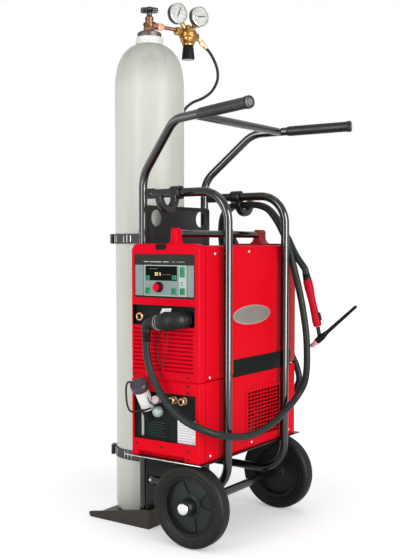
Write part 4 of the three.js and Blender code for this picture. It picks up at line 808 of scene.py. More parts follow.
for name, z in (("upper", 911), ("lower", 202)):
    hand_over(strap_piece(z), f"strap_{name}_band", webbing, replaces=[f"strap_{name}"])
    teeth = []
    for turn in (226, 233, 240, 262, 269, 276):
        tooth = block((CYLINDER + 3.4, -1.1, z - 12), (CYLINDER + 4.6, 1.1, z + 12), 0.3)
        tooth.rotation_euler = (0, 0, math.radians(turn))
        teeth.append(settle(tooth))
    hand_over(fuse(*teeth), f"strap_{name}_teeth", bare_edge)
    hand_over(buckle_piece(z), f"buckle_{name}_lever", glossy_black, f"lever_{name}",
              [f"buckle_{name}"])

# %% [markdown]
# ## Gas cylinder
# A seamless steel bottle has a straight wall, a shoulder a little fuller than half an ellipse
# and a thick neck with a painted ring. All of it is one profile, spun in fine steps so that the
# outline stays round, and the ring is a second profile on top.

# %% Cylinder and neck ring
def shoulder(radius, height, from_radius, count=24, power=2.6):
    last = math.acos((from_radius / radius) ** (power / 2))
    turns = [last * i / count for i in range(count + 1)]
    return [(radius * math.cos(a) ** (2 / power),
             1390 + height * math.sin(a) ** (2 / power)) for a in turns]


wall = [(0, 13.3), (60, 10), (92.5, 4.3), (103, 5.6), (111, 11), (CYLINDER, 22), (CYLINDER, 600),
        (CYLINDER, 1100),
        *shoulder(CYLINDER, 164.4, 44.5), (44.5, 1556), (0, 1556)]
hand_over(turned(wall, 96), "cylinder_bottle", lacquer, replaces=["gas_cylinder"], smooth=50)
neck = turned([(0, 1549), (44.8, 1549), (46.5, 1552), (46.5, 1558), (45, 1560.5), (45, 1562.5),
               (46.3, 1565), (45.5, 1571), (43, 1573.4), (0, 1573.6)], 64)
hand_over(neck, "cylinder_neck_ring", neck_white)

# %% [markdown]
# ## Valve and hand wheel
# The valve stands in the neck: a brown collar, a hexagon, a turned body, and the outlet that the
# regulator is screwed to. The hand wheel has six lobes with an opening in each, which is one
# outline with six holes. The whole group is turned with the regulator, so it is made in line
# and then turned once.

# %% Valve and hand wheel
REGULATOR_TURN = math.radians(71)


def turn_group(piece):
    piece.matrix_world = Matrix.Rotation(REGULATOR_TURN, 4, "Z") @ piece.matrix_world
    return settle(piece)


collar = turned([(0, 1573.4), (39, 1573.4), (40, 1575), (40, 1587), (34, 1591.4), (0, 1591.4)], 48)
hand_over(turn_group(collar), "valve_collar", collar_brown, replaces=["valve_body"])
hexagon = outlined(ring((0, 0), 22, 6), 1591, 1608, 1.2)
body = turned([(0, 1606), (16.5, 1606), (16.5, 1609), (14.5, 1611), (14.5, 1626), (13, 1628),
               (13, 1631), (14.5, 1633),
               (14.5, 1639.5), (10, 1644.2), (0, 1644.2)], 40)
spout = rod((0, 0, 1615), (29.2, 0, 1615), 11, 32, 1)
spout_shoulder = rod((0, 0, 1615), (20, 0, 1615), 13.5, 32, 1.5)
relief = rod((-21, 0, 1615), (0, 0, 1615), 7, 6)
hand_over(turn_group(fuse(hexagon, body, spout, spout_shoulder, relief)), "valve_turned_body", bronze)

LOBES, LOBE_MIDDLE, LOBE_HEIGHT = 6, 28.5, 3.5
turns = [2 * math.pi * i / 96 for i in range(96)]
reach = [LOBE_MIDDLE + LOBE_HEIGHT * math.cos(LOBES * a) for a in turns]
lobes = [(r * math.cos(a), r * math.sin(a)) for r, a in zip(reach, turns)]
openings = [ring((20 * math.cos(a), 20 * math.sin(a)), 6.2, 20) for a in turns[::len(turns) // LOBES]]
wheel = outlined(lobes, 1657.6, 1668.6, 2.4, openings, segments=3)
hub = turned([(0, 1644.9), (8, 1644.9), (9, 1647), (9, 1668), (6, 1672.4), (0, 1672.4)], 28)
hand_over(turn_group(fuse(wheel, hub)), "handwheel_lobed", glossy_black, "handwheel",
          ["valve_handwheel"])

# %% [markdown]
# ## Regulator
# The body is a bell of cast and turned brass on a straight stem, with a hexagon at each port and
# two short stems up to the gauges. Most parts are turned about their own axes and aimed along
# the port that they make. The adjusting knob below is made with the fluted shapes further on.

# %% Regulator body
REG_X = 157
GAUGES = {"cylinder": (112.2, 1668.8), "outlet": (201.1, 1670.8)}  # the middle of each dial


def bell_piece():
    profile = [(0, 1568), (20, 1568), (20, 1574), (22, 1576), (26, 1584), (28, 1590), (28, 1593),
               (31, 1595), (31, 1600),
               (29.5, 1601.5), (29.5, 1603.5), (31, 1605), (31, 1611), (27, 1617), (22, 1622),
               (16, 1626), (14, 1629),
               (12, 1632), (0, 1632)]
    return shift(turned(profile, 56), REG_X)


nut = rod((29.7, 0, 1615), (53.5, 0, 1615), 12.5, 6, 1.5)
hand_over(turn_group(nut), "regulator_nut", copper)
stem = rod((50, 0, 1615), (138, 0, 1615), 6.2, 28)
hand_over(turn_group(stem), "regulator_stem", stem_copper)
inlet_hex = rod((105, 0, 1611), (124, 0, 1611), 14.5, 6, 1)
inlet_neck = rod((122, 0, 1612), (142, 0, 1612), 11, 24, 1)
cap_screw = rod((REG_X, 0, 1630), (REG_X, 0, 1637), 10, 6, 1)
port_hex = rod((177, 0, 1604), (199, 0, 1606), 8.5, 6, 1)
outlet_boss = rod((REG_X, 0, 1600), (197, 0, 1597.5), 10, 8, 1)
gauge_stems = []
for (x, z), foot in zip(GAUGES.values(), (145, 171)):
    start, towards = Vector((foot, 0, 1618)), Vector((x, 0, z))
    along = (towards - start).normalized()
    end = towards - along * 34.7
    gauge_stems.append(rod(start, end, 6.5, 20))
    gauge_stems.append(rod(end - along * 9, end - along * 1, 8.5, 6, 0.6))
hand_over(turn_group(fuse(bell_piece(), inlet_hex, inlet_neck, cap_screw, port_hex, outlet_boss,
                          *gauge_stems)),
          "regulator_bell", brass, replaces=["regulator_body"])
tail = rod((186, 0, 1606), (232.5, 0, 1569.1), 5.5, 20)
tail_hex = rod((209, 0, 1587.7), (222, 0, 1577.4), 9, 6, 0.8)
ferrule = rod((222, 0, 1577.4), (230.5, 0, 1570.7), 7, 20, 0.8)
hand_over(turn_group(fuse(tail, tail_hex, ferrule)), "regulator_tail", pale_brass)

# %% [markdown]
# ## Fluted knobs
# Three pieces here are fluted: the regulator's knob, the setting knob and the filler's cap. A
# gear-like ring is made once, as a circle whose every fourth vertex is pulled in, and then
# extruded upward ring by ring, each ring resized to follow the profile.

# %% A fluted shape
def fluted(profile, flutes, depth):
    """Rings of (radius, height) in millimetres, extruded from a circle with grooves."""
    first, height = profile[0]
    deselect()
    bpy.ops.mesh.primitive_circle_add(vertices=flutes * 4, radius=first * MM, fill_type="NGON",
                                      location=(0, 0, height * MM))
    piece = settle(bpy.context.object)
    for vertex in piece.data.vertices:
        step = round(math.atan2(vertex.co.y, vertex.co.x) / (2 * math.pi) * flutes * 4) % 4
        vertex.select = step == 0
    for poly in piece.data.polygons:
        poly.select = False
    bpy.ops.object.mode_set(mode="EDIT")
    bpy.ops.mesh.select_mode(type="VERT")
    shrink = 1 - depth / first
    bpy.ops.transform.resize(value=(shrink, shrink, 1), center_override=(0, 0, height * MM))
    bpy.ops.mesh.select_mode(type="FACE")
    bpy.ops.mesh.select_all(action="SELECT")
    for radius, level in profile[1:]:
        bpy.ops.mesh.extrude_region_move(TRANSFORM_OT_translate={"value": (0, 0, (level - height) * MM)})
        scale = radius / first
        bpy.ops.transform.resize(value=(scale, scale, 1), center_override=(0, 0, level * MM))
        first, height = radius, level
    object_mode()
    return clean(piece)


knob = shift(fluted([(21.5, 1521.2), (24, 1524), (23.8, 1530), (20, 1562), (19, 1565.5), (17, 1567.7)],
                    16, 1.8), REG_X)
hand_over(turn_group(knob), "regulator_knob_fluted", black_moulding, "pressure_knob",
          ["regulator_knob"], smooth=25)
knob_foot = shift(turned([(0, 1520.6), (15.5, 1520.6), (17, 1521.4), (0, 1521.4)], 40), REG_X)
hand_over(turn_group(knob_foot), "regulator_knob_plug", clear_moulding, "pressure_knob")

# %% [markdown]
# ## Gauges
# A gauge is a black case with a bright ring, a pale dial set back inside it, printed strokes and
# a coloured band, a pointer and a glass. The strokes are thin blocks laid round the dial. The
# glass would need many samples as real glass, so it is a clear layer with a faint mirror.

# %% Glass and dial finishes
def glass_finish():
    finish = Finish("gauge_glass", "gauge_case", (1, 1, 1), 0.05)
    clear, mirror = finish.node("BsdfTransparent"), finish.node("BsdfGlossy", {}, {"Roughness": 0.04})
    layer = finish.node("MixShader", {}, {0: 0.07, 1: clear, 2: mirror})
    finish.feed(finish.nodes["Material Output"].inputs[0], layer)
    finish.nodes.remove(finish.shader)
    return finish


glass = glass_finish()
dial_pale = grained("dial_pale", "gauge_case", (0.66, 0.68, 0.64), 0.5, spread=0.05)
dial_ink = grained("dial_ink", "gauge_case", (0.10, 0.11, 0.10), 0.6)
dial_arc = grained("dial_arc", "gauge_case", (0.46, 0.20, 0.24), 0.6)
ring_metal = tarnished("gauge_ring", "gauge_case", (0.50, 0.50, 0.46), (0.24, 0.24, 0.21), 0.22, 90)


# %% Gauges
def face_on(piece, x, z):
    """Turns a piece made flat, looking up, to face the gauges' side, and puts it in its place."""
    piece.matrix_world = (Matrix.Rotation(REGULATOR_TURN, 4, "Z") @ Matrix.Translation(mm(x, 0, z))
                          @ Matrix.Rotation(math.radians(90), 4, "X"))
    return settle(piece)


def dial_strokes(level):
    """Thirty-one strokes over three quarters of a turn, every fifth one longer."""
    strokes = []
    for i in range(31):
        angle = math.radians(225 - 9 * i)
        inner = 21 if i % 5 == 0 else 24
        stroke = block((inner, -0.35, level), (27, 0.35, level + 0.25), 0)
        stroke.rotation_euler = (0, 0, angle)
        strokes.append(settle(stroke))
    return fuse(*strokes)


def gauge(name, x, z):
    rim = [(30.8, 6.9), (34, 6.9), (34.5, 9), (33.7, 12.4), (32, 13.2), (30.6, 12), (30.8, 6.9)]
    band = [*arc((0, 0), 18.5, 200, -20, 30), *arc((0, 0), 17, -20, 200, 30)]
    for part, piece, finish in (
        ("case", turned([(0, -13), (29.5, -13), (34, -9), (34, 7.5), (0, 7.5)], 56), gauge_paint),
        ("ring", turned(rim, 56), ring_metal),
        ("dial", turned([(0, 7.4), (30.7, 7.4), (30.7, 8), (0, 8)], 48), dial_pale),
        ("strokes", dial_strokes(8.0), dial_ink),
        ("band", outlined(band, 8, 8.2), dial_arc),
        ("glass", turned([(0, 11.6), (30.6, 11.6), (30.6, 12.2), (0, 12.2)], 40), glass),
    ):
        stands_for = [f"gauge_{name}"] if part == "case" else ()
        hand_over(face_on(piece, x, z), f"gauge_{name}_{part}", finish, replaces=stands_for)


def pointer(name, x, z, reading):
    blade = outlined([(-13, -1.4), (-13, 1.4), (10, 2.1), (24, 0.8), (24, -0.8), (10, -2.1)], 8.9, 9.9)
    pivot = turned([(0, 8.3), (3.2, 8.3), (3.2, 10.2), (2, 10.7), (0, 10.7)], 20)
    piece = fuse(blade, pivot)
    piece.rotation_euler = (0, 0, math.radians(reading))
    settle(piece)
    hand_over(face_on(piece, x, z), f"needle_{name}_pointer", needle_black, f"pointer_{name}",
              [f"needle_{name}"])


for name, centre in GAUGES.items():
    gauge(name, *centre)
for (name, centre), reading in zip(GAUGES.items(), (68, 10)):
    pointer(name, *centre, reading)

# %% [markdown]
# ## Front end frame of the power source
# The front is one red moulding with rounded corners: a window for the control panel, a recess
# for the sockets, a notch in its top edge, and eleven rows of sloping air slots below. It starts
# as a thick outline with rounded edges. The windows are cut with booleans, because each opening's
# edge has to go right through the rounded front, and the lug for the handle is a second outline.
# A black piece in the notch and a darker red sheet behind the slots are painted shade.

# %% Front moulding
LEFT, RIGHT, FRONT, TOP, SEAM = 148, 398, -280, 895.2, 493  # SEAM is where the cooler begins


def forward(shape, x, z, y=FRONT):
    """Puts turned work on the front, looking along -Y."""
    return aim(shape, (x, y, z), (x, y - 50, z))


def sunk_screws(prefix, places):
    """Round screw heads with a sunk middle, at each (x, z) of the front."""
    for i, (x, z) in enumerate(places):
        head = turned([(0, 0), (4.2, 0), (4.2, 1), (3, 2), (1.4, 2), (1.4, 0.6), (0, 0.6)], 20)
        hand_over(forward(head, x, z), f"{prefix}_screw_{i}", glossy_black)


def front_moulding():
    r = 22
    shape = [*arc((RIGHT - 5, SEAM + 5), 5, -90, 0, 5), *arc((RIGHT - r, TOP - r), r, 0, 90, 10),
             *arc((LEFT + r, TOP - r), r, 90, 180, 10), *arc((LEFT + 5, SEAM + 5), 5, 180, 270, 5)]
    shell = outlined(shape, FRONT, FRONT + 32, 4.5, plane="XZ", segments=4)
    hollow = outlined(rounded(LEFT + 4, RIGHT - 4, SEAM + 4, TOP - 16, 16), FRONT + 6, FRONT + 40,
                      plane="XZ")
    window = outlined(rounded(160.7, 381.3, 737.7, 857.3, 3), FRONT - 5, FRONT + 8, plane="XZ")
    sockets = outlined(rounded(152.7, 381.8, 652.7, 714.3, 3), FRONT - 5, FRONT + 8, plane="XZ")
    notch = outlined([(238, 900), (240, 895), (238, 883), (241, 880.4), (277, 880.4), (280, 883),
                      (280, 900)],
                     FRONT - 5, FRONT + 7, plane="XZ")
    return cut_away(shell, hollow, window, sockets, notch)


def lug(y0, y1):
    """The outline of one handle lug, wider at its foot, from front to back."""
    half = [(22, TOP - 3), (18, TOP + 2), (14, TOP + 8), (12, TOP + 15), (11.5, TOP + 22), (11, 932),
            (9.5, 938), (6, 941)]
    side = [*((301 + w, h) for w, h in half), *((301 - w, h) for w, h in reversed(half))]
    return outlined(side, y0, y1, 2.5, plane="XZ", segments=3)


def slots_cutter():
    slots = []
    for row in range(11):
        for x0 in (157, 269):
            z = 517 + (row + 0.5) * 131 / 11
            slot = outlined([(FRONT - 2, z - 4.2), (FRONT + 9, z + 1.2), (FRONT + 9, z + 5.8),
                             (FRONT - 2, z + 1.4)],
                            x0, x0 + 106, plane="YZ")
            slots.append(slot)
    return fuse(*slots)


frame_front = cut_away(front_moulding(), slots_cutter())
hand_over(fuse(frame_front, lug(-272, -246)), "front_bezel_moulding", red_moulding,
          replaces=["front_bezel"], smooth=40)
# Painted shade: the black piece in the notch.
notch_shade = outlined([(240.5, 893.5), (240.5, 880), (243, 877), (275, 877), (277.5, 880),
                      (277.5, 893.5)],
                     FRONT - 0.4, FRONT + 6.6, 0.3, plane="XZ")
hand_over(notch_shade, "notch_painted_shade", strip_black_and_shade)
# Painted shade: the darker red sheet behind the slots.
louvre_shade = block((152, FRONT + 6.6, 512), (394, FRONT + 8, 650), 0)
hand_over(louvre_shade, "louvre_painted_shade", dark_red)
sunk_screws("front", [(357.8, 507), (163, 507), (259, 507)])

# %% [markdown]
# ## Control panel
# The panel is a printed film on a moulding with a dark edge: a dark brow and strip on top, grey
# fields on both sides, a pale frame round the middle and a dark screen with glowing numbers.
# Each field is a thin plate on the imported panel. A picture would do for the print, but plates
# keep the size and place of each field as numbers. Short lines fill the strip.

# %% Panel fields and screen
PANEL_Y = FRONT + 0.5


def field(name, x0, x1, z0, z1, finish, proud=0.35, radius=1.5):
    shape = outlined(rounded(x0, x1, z0, z1, radius, 3), PANEL_Y - proud, PANEL_Y + 0.02, plane="XZ")
    return hand_over(shape, name, finish)


gap = outlined(rounded(160.9, 381.1, 737.9, 857.1, 3), FRONT + 0.9, FRONT + 1.4, plane="XZ")
hand_over(gap, "panel_gap", black_moulding)
edging = outlined(rounded(160.4, 381.6, 735.6, 865, 3), FRONT - 0.3, FRONT + 0.5,
                  holes=[rounded(163.4, 378.6, 741.6, 855.4, 1.5, 3)], plane="XZ")
hand_over(edging, "panel_dark_edging", black_moulding)
field("panel_brow", 162, 380, 855.2, 863.5, panel_dark, 1.0)
field("panel_top_strip", 163.4, 378.6, 833.5, 855.4, panel_dark)
field("panel_left_field", 163.4, 193.3, 741.6, 832.5, panel_film)
field("panel_right_field", 355.5, 378.6, 741.6, 832.5, panel_film)
field("panel_left_line", 193.6, 195.6, 741.6, 832.5, panel_line, 0.4, 0.4)
field("panel_right_line", 353.4, 355.2, 741.6, 832.5, panel_line, 0.4, 0.4)
field("panel_pale_frame", 195.8, 353.2, 741.6, 832.5, panel_pale, 0.3)
field("panel_middle_field", 198, 351, 744, 830, panel_film, 0.5)
field("panel_screen", 203, 319, 787, 830, screen_dark, 0.8, 2)
field("panel_key_frame", 325.5, 350.5, 744, 830, panel_pale, 0.7)


def glow_finish(name, color):
    finish = Finish(name, "panel_plastic", color, 0.5)
    finish.set("Emission Color", (*color, 1))
    finish.set("Emission Strength", 0.8)
    return finish


glow = glow_finish("screen_glow", (0.95, 0.82, 0.22))


def figures(name, text, x, z, size, finish, proud=0.95):
    deselect()
    bpy.ops.object.text_add(location=mm(x, PANEL_Y - proud, z), rotation=(math.radians(90), 0, 0))
    piece = bpy.context.object
    piece.data.body = text
    piece.data.size = size * MM
    piece.data.extrude = 0.00006
    bpy.ops.object.convert(target="MESH")
    return hand_over(bpy.context.object, name, finish)


glow_pale = glow_finish("screen_glow_pale", (1.0, 0.72, 0.66))
figures("screen_figures", "20", 237, 802, 13, glow)
figures("screen_figures_right", "5", 254, 802, 13, glow_pale)
for i in range(3):
    field(f"screen_mark_{i}", 218 + i * 11, 226 + i * 11, 821, 822.4, badge_grey, 0.95, 0.3)
for i in range(4):
    field(f"screen_lower_mark_{i}", 268 + i * 8, 271 + i * 8, 804, 806, badge_grey, 0.95, 0.3)
for i, (x0, x1) in enumerate([(196, 214), (218, 262), (268, 288), (300, 312), (318, 346)]):
    field(f"strip_line_{i}", x0, x1, 841, 843.4, panel_pale if i < 3 else badge_grey, 0.45, 0.4)

# %% [markdown]
# ## Keys and setting knob
# Seven keys stand a little proud of the film, six green and one pale, each with one or two dark
# marks. They differ only in size, place and colour, so a table holds those. A fluted dark red
# knob with a brighter face turns below the screen.

# %% Keys and knob
KEYS = {"left_upper": (211, 795, 16, 13), "right_upper": (309, 797, 16, 13),
        "left_lower": (210, 756, 17, 19),
        "right_lower": (307, 757, 17, 19), "column_top": (338, 813, 18, 30),
        "column_middle": (338, 780, 18, 15),
        "column_bottom": (338, 757, 18, 20)}
for key, (x, z, width, height) in KEYS.items():
    pale = key == "column_middle"
    cap = outlined(rounded(x - width / 2, x + width / 2, z - height / 2, z + height / 2, 2.5),
                   FRONT - 2.1, FRONT + 10, 1.1, plane="XZ")
    hand_over(cap, f"key_{key}_cap", key_pale if pale else key_green, f"key_{key}", [f"button_{key}"])
    marks = [outlined(rounded(x - width * 0.22, x + width * 0.22, z + d - 1, z + d + 1, 0.6),
                      FRONT - 2.35, FRONT - 2.0,
                      plane="XZ") for d in ((-3.5, 3.5) if height > 14 else (0,))]
    hand_over(fuse(*marks), f"key_{key}_mark", key_mark, f"key_{key}")

knob_shape = fluted([(15.4, 0), (16.5, 1), (16.5, 7), (14, 11), (12.6, 16), (11.4, 16.4), (10, 15.6)],
                    18, 0.9)
knob_shape = aim(knob_shape, (253, FRONT + 0.2, 768), (253, FRONT - 30, 768))
hand_over(knob_shape, "setting_knob_fluted", knob_maroon, "setting_knob", ["control_knob"], smooth=25)
knob_face = spun([(0, 14.8), (10.6, 14.8), (11.4, 16), (10.4, 17.6), (0, 18)], 40,
                 (253, FRONT + 0.2, 768), (253, FRONT - 30, 768))
hand_over(knob_face, "setting_knob_face", red_moulding, "setting_knob")

# %% [markdown]
# ## Socket recess
# Below the panel is a black recess. On its left is the current socket, a bright ring round a
# black bush, and on its right the torch's plug. A plain white tag shows above the plug.

# %% Socket ring and tag
socket_ring = turned([(7.6, 0), (12.6, 0), (12.6, 9), (11.4, 10.6), (8.4, 10.6), (7.6, 9.4), (7.6, 0)],
                     44)
hand_over(forward(socket_ring, 174, 677, -265.6), "socket_bright_ring", pale_brass)
socket_bush = turned([(3.4, 0), (7.4, 0), (7.4, 8.6), (6.4, 9.6), (4, 9.6), (3.4, 8.6), (3.4, 0)], 32)
hand_over(forward(socket_bush, 174, 677, -265.6), "socket_bush", glossy_black)
tag = outlined([(264, 684), (277, 707), (310, 708), (304, 686)], -296, -294.6, 0.3, plane="XZ")
hand_over(tag, "socket_tag", label_white)

# %% [markdown]
# ## Cover, badge and handle of the power source
# The cover is one folded sheet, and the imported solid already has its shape, so it keeps that and
# gets the powder coat. On it go the pressed line under the fold, the black strip low on the
# side, a plain oval badge, and the screws. The carrying handle is a plain round bar.

# %% Cover details
SIDE = 397.5


def oval(width, height, centre=(6, 675), count=64):
    turns = [2 * math.pi * i / count for i in range(count)]
    return [(centre[0] + width * math.cos(a), centre[1] + height * math.sin(a)) for a in turns]


fold = block((SIDE - 0.5, -246, 852.6), (SIDE + 0.9, 246, 855.6), 0.5)
hand_over(fold, "cover_pressed_line", red_coat)
strip = block((SIDE - 1.1, -98, 489.5), (SIDE + 0.5, 246, 543.5), 0.3)
hand_over(strip, "cover_black_strip", strip_black_and_shade)
hand_over(outlined(oval(109.5, 30), SIDE + 0.1, SIDE + 1.5, 0.4, plane="YZ"), "badge_oval_rim",
          badge_rim)
hand_over(outlined(oval(105, 26.5), SIDE + 0.9, SIDE + 1.7, 0.2, plane="YZ"), "badge_oval_field",
          badge_grey)
for i, (y, z) in enumerate([(-227, 505), (-13, 871), (-224, 274), (6, 274), (238, 274), (-200, 866)]):
    screw = spun([(0, 0), (4.4, 0), (4.0, 1.6), (2.4, 2.4), (0, 2.6)], 20, (SIDE, y, z),
                 (SIDE + 30, y, z))
    hand_over(screw, f"side_screw_{i}", zinc)

bar = turned([(0, -245.6), (8.5, -245.6), (11, -242.6), (11, 184.6), (8.5, 187.6), (0, 187.6)], 40)
bar.matrix_world = Matrix.Translation(mm(301, 0, 924.7)) @ Matrix.Rotation(math.radians(-90), 4, "X")
hand_over(settle(bar), "top_handle_bar", tube_enamel, replaces=["top_handle"])

# %% [markdown]
# ## Cooler
# The cooler's front is a red frame round a sunk black panel, with an open slot along its foot.
# It is made as the front of the power source is: a thick outline whose openings are cut.

# %% Cooler front
BASE = 257


def cooler_moulding():
    shell = outlined(rounded(LEFT, RIGHT, BASE, 492.7, 4), FRONT, FRONT + 32, 3.5, plane="XZ",
                     segments=3)
    hollow = block((152, FRONT + 4.5, 277), (394, FRONT + 40, 488.6), 0)
    window = outlined(rounded(155, 384, 310, 456, 5), FRONT - 5, FRONT + 6, plane="XZ")
    slot = outlined(rounded(172, 345, BASE - 20, 273, 4), FRONT - 5, FRONT + 21, plane="XZ")
    line = block((175, FRONT - 2, 488.8), (346, FRONT + 3, 496), 0)
    return cut_away(shell, hollow, window, slot, line)


hand_over(cooler_moulding(), "cooler_front_moulding", red_coat, replaces=["cooler_front"], smooth=40)
sunk_screws("cooler", [(357, 482), (357, 463.8), (166, 294), (259, 293), (357.6, 292.7), (357, 268)])

# %% [markdown]
# ## What sits on the cooler's panel
# Two brass couplings, a level strip, a frosted filter bowl with its pinkish head, and two plain
# fields: a white one with grey lines and a black one with green lines. The round pieces are
# turned and face the operator, and the flat ones are thin blocks that stand just proud.

# %% Cooler panel fittings
PANEL_BACK = FRONT + 9


def plain_lines(name, finish, count, x0, x1, uneven, z0, pitch, height, proud):
    """Thin raised lines of uneven lengths, one above the other."""
    step, most = uneven
    for i in range(count):
        z, end = z0 + i * pitch, x1 - (i * step) % most
        line = block((x0, PANEL_BACK - proud[0], z), (end, PANEL_BACK - proud[1], z + height), 0)
        hand_over(line, f"{name}_{i}", finish)


for i, x in enumerate((303, 339)):
    body = forward(turned([(0, 0), (11, 0), (11, 4), (9.5, 5), (9.5, 12), (11, 13), (11, 18), (10, 20),
                           (6.5, 20), (6, 12), (0, 12)], 40), x, 437, PANEL_BACK)
    hand_over(body, f"coupling_{i}", pale_brass)
level = block((182, PANEL_BACK - 5, 319), (190, PANEL_BACK + 0.5, 399), 2)
hand_over(level, "level_strip", clear_moulding)
tag = block((314, PANEL_BACK - 0.6, 311), (386, PANEL_BACK + 0.1, 381), 0.2)
hand_over(tag, "cooler_bare_label", label_white)
plain_lines("label_line", label_ink, 8, 319, 381, (7, 19), 318, 7.6, 1.6, (0.8, 0.5))
bowl = forward(turned([(0, 0), (15, 0), (15.8, 3), (15.8, 10), (13, 17.5), (7.5, 21.5), (0, 22.5)], 40),
               246, 397, PANEL_BACK)
hand_over(bowl, "filter_bowl", clear_moulding)
bowl_head = forward(turned([(0, 0), (12.5, 0), (12.5, 3.5), (11, 4.5), (12.5, 6), (12.5, 9.5), (11, 11),
                            (12.5, 12.5), (12.5, 17.5), (10, 21), (0, 21)], 36), 243, 434, PANEL_BACK)
hand_over(bowl_head, "filter_head", pink_moulding)
bare = block((198, PANEL_BACK - 0.4, 316), (286, PANEL_BACK + 0.1, 372), 0.2)
hand_over(bare, "panel_bare_field", strip_black_and_shade)
plain_lines("field_line", key_mark, 6, 204, 278, (11, 23), 322, 8, 2, (0.7, 0.3))

# %% [markdown]
# ## Filler
# A white neck comes up out of the panel at a slant, in a black collar, with a fluted purple cap
# on it. The neck and the collar are turned along the slant and then cut flat at the panel. A
# rubber leash from the cap and a thin tie are tubes along smooth curves.

# %% Filler neck and cap
PANEL_CUT_LOW, PANEL_CUT_HIGH = (150, -271.3, 300), (260, -100, 560)
NECK_FROM, NECK_TO = Vector((206.2, -266, 393.4)), Vector((212.1, -323, 478.5))
neck_axis = (NECK_TO - NECK_FROM).normalized()


def neck_piece():
    length = (NECK_TO - NECK_FROM).length
    shape = spun([(14.8, -40), (20.8, -40), (20.8, length - 18), (22.2, length - 17),
                  (22.2, length - 15),
                        (17.8, length - 14), (17.8, length), (14.8, length),
                        (14.8, -40)], 48, NECK_FROM, NECK_TO)
    return cut_away(shape, block(PANEL_CUT_LOW, PANEL_CUT_HIGH, 0))


hand_over(neck_piece(), "filler_neck_tube", white_moulding, replaces=["filler_neck"])
cap_start = NECK_TO - neck_axis * 13.7
cap_shape = fluted([(27, 0), (28.5, 1.5), (28.5, 18), (27, 20.5)], 22, 1.4)
hand_over(aim(cap_shape, cap_start, NECK_TO), "filler_cap_fluted", cap_purple, "cap", ["filler_cap"],
          smooth=25)
crown = spun([(0, 20), (26.8, 20), (25.5, 22.6), (20, 23.8), (0, 24)], 40, cap_start, NECK_TO)
hand_over(crown, "filler_cap_crown", cap_purple, "cap")
leash = [(198, -338, 488), (186, -342, 488), (172, -334, 476), (162, -324, 455), (159, -319, 436),
         (162, -318, 414), (172, -317, 397), (190, -314, 396),
         (207, -312, 402), (222, -306, 404), (236, -298, 410)]
hand_over(tube(smooth_route(leash), 3, 12), "filler_leash", boot_rubber)
tie = [(226, -312, 455), (231, -304, 437), (236, -299, 424), (246, -297, 419), (258, -296, 425)]
hand_over(tube(smooth_route(tie), 1.7, 10), "filler_tie", boot_rubber)
socket_foot = NECK_FROM + neck_axis * 17
socket = spun([(21, -60), (23.4, -60), (23.4, -1.5), (22, 0), (21, 0), (21, -60)], 48, socket_foot,
              NECK_TO)
hand_over(cut_away(socket, block((150, -271.2, 300), (260, -100, 560), 0)), "filler_socket",
          black_moulding)

# %% [markdown]
# ## Perforated sheet
# Air goes in through a perforated sheet on the side: ten columns and thirteen rows of oblong
# holes. One cell is a small plane whose middle is inset and removed. Two arrays repeat it, the
# doubles are merged, and a thickness turns it into sheet. A dark sheet some way behind it is
# painted shade for the inside of the cooler, and the fan still turns in view between the holes.

# %% Perforated sheet
def perforated():
    y0, y1, z0, z1, border, columns, rows, middle = -28, 182, 277, 443, 8, 10, 13, 399.0
    pitch_y, pitch_z = (y1 - y0 - 2 * border) / columns, (z1 - z0 - 2 * border) / rows
    deselect()
    bpy.ops.mesh.primitive_plane_add(size=1)
    cell = bpy.context.object
    cell.matrix_world = Matrix(((0, 0, 1, middle * MM),
                                (pitch_y * MM, 0, 0, (y0 + border + pitch_y / 2) * MM),
                                (0, pitch_z * MM, 0, (z0 + border + pitch_z / 2) * MM), (0, 0, 0, 1)))
    settle(cell)
    edit(cell)
    bpy.ops.mesh.inset(thickness=0.0021, depth=0)
    bpy.ops.mesh.delete(type="FACE")
    object_mode()
    for count, offset in ((columns, (0, pitch_y * MM, 0)), (rows, (0, 0, pitch_z * MM))):
        array = cell.modifiers.new("row", "ARRAY")
        array.use_relative_offset = False
        array.use_constant_offset = True
        array.constant_offset_displace = offset
        array.count = count
    apply_modifiers(cell)
    clean(cell, 1e-5)
    sheet = cell.modifiers.new("sheet", "SOLIDIFY")
    sheet.thickness = 0.0012
    sheet.offset = 0
    apply_modifiers(cell)
    rim = outlined(rounded(y0, y1, z0, z1, 4), 397.9, 399.3, 0.3,
                   [[(y0 + border, z0 + border), (y1 - border, z0 + border),
                     (y1 - border, z1 - border), (y0 + border, z1 - border)]], "YZ")
    return fuse(cell, rim)


hand_over(perforated(), "cooler_perforated_sheet", red_coat, replaces=["cooler_grille"])
# Painted shade: a dark sheet behind the holes stands in for the shaded inside of the cooler.
shade_sheet = fuse(block((333, -70, 262), (335, 266, 488), 0.2), block((333, 264, 262), (394, 266, 488), 0.2))
hand_over(shade_sheet, "cooler_painted_shade_sheet", strip_black_and_shade)

# %% [markdown]
# ## Torch plug and boot
# The plug goes into the recess on the right. A soft boot sweeps from it to the left and down,
# and gets thinner until it meets the hose. It is a curve whose points carry their own radius.
# Three ribs and two grey ties go round it, and a thin leash hangs in a loop below it.

# %% Plug and boot
def spread(sizes, count):
    """As many radii as asked for, evenly spaced between the given ones."""
    radii = []
    for i in range(count):
        place = i / (count - 1) * (len(sizes) - 1)
        low = min(int(place), len(sizes) - 2)
        radii.append(sizes[low] + (sizes[low + 1] - sizes[low]) * (place - low))
    return radii


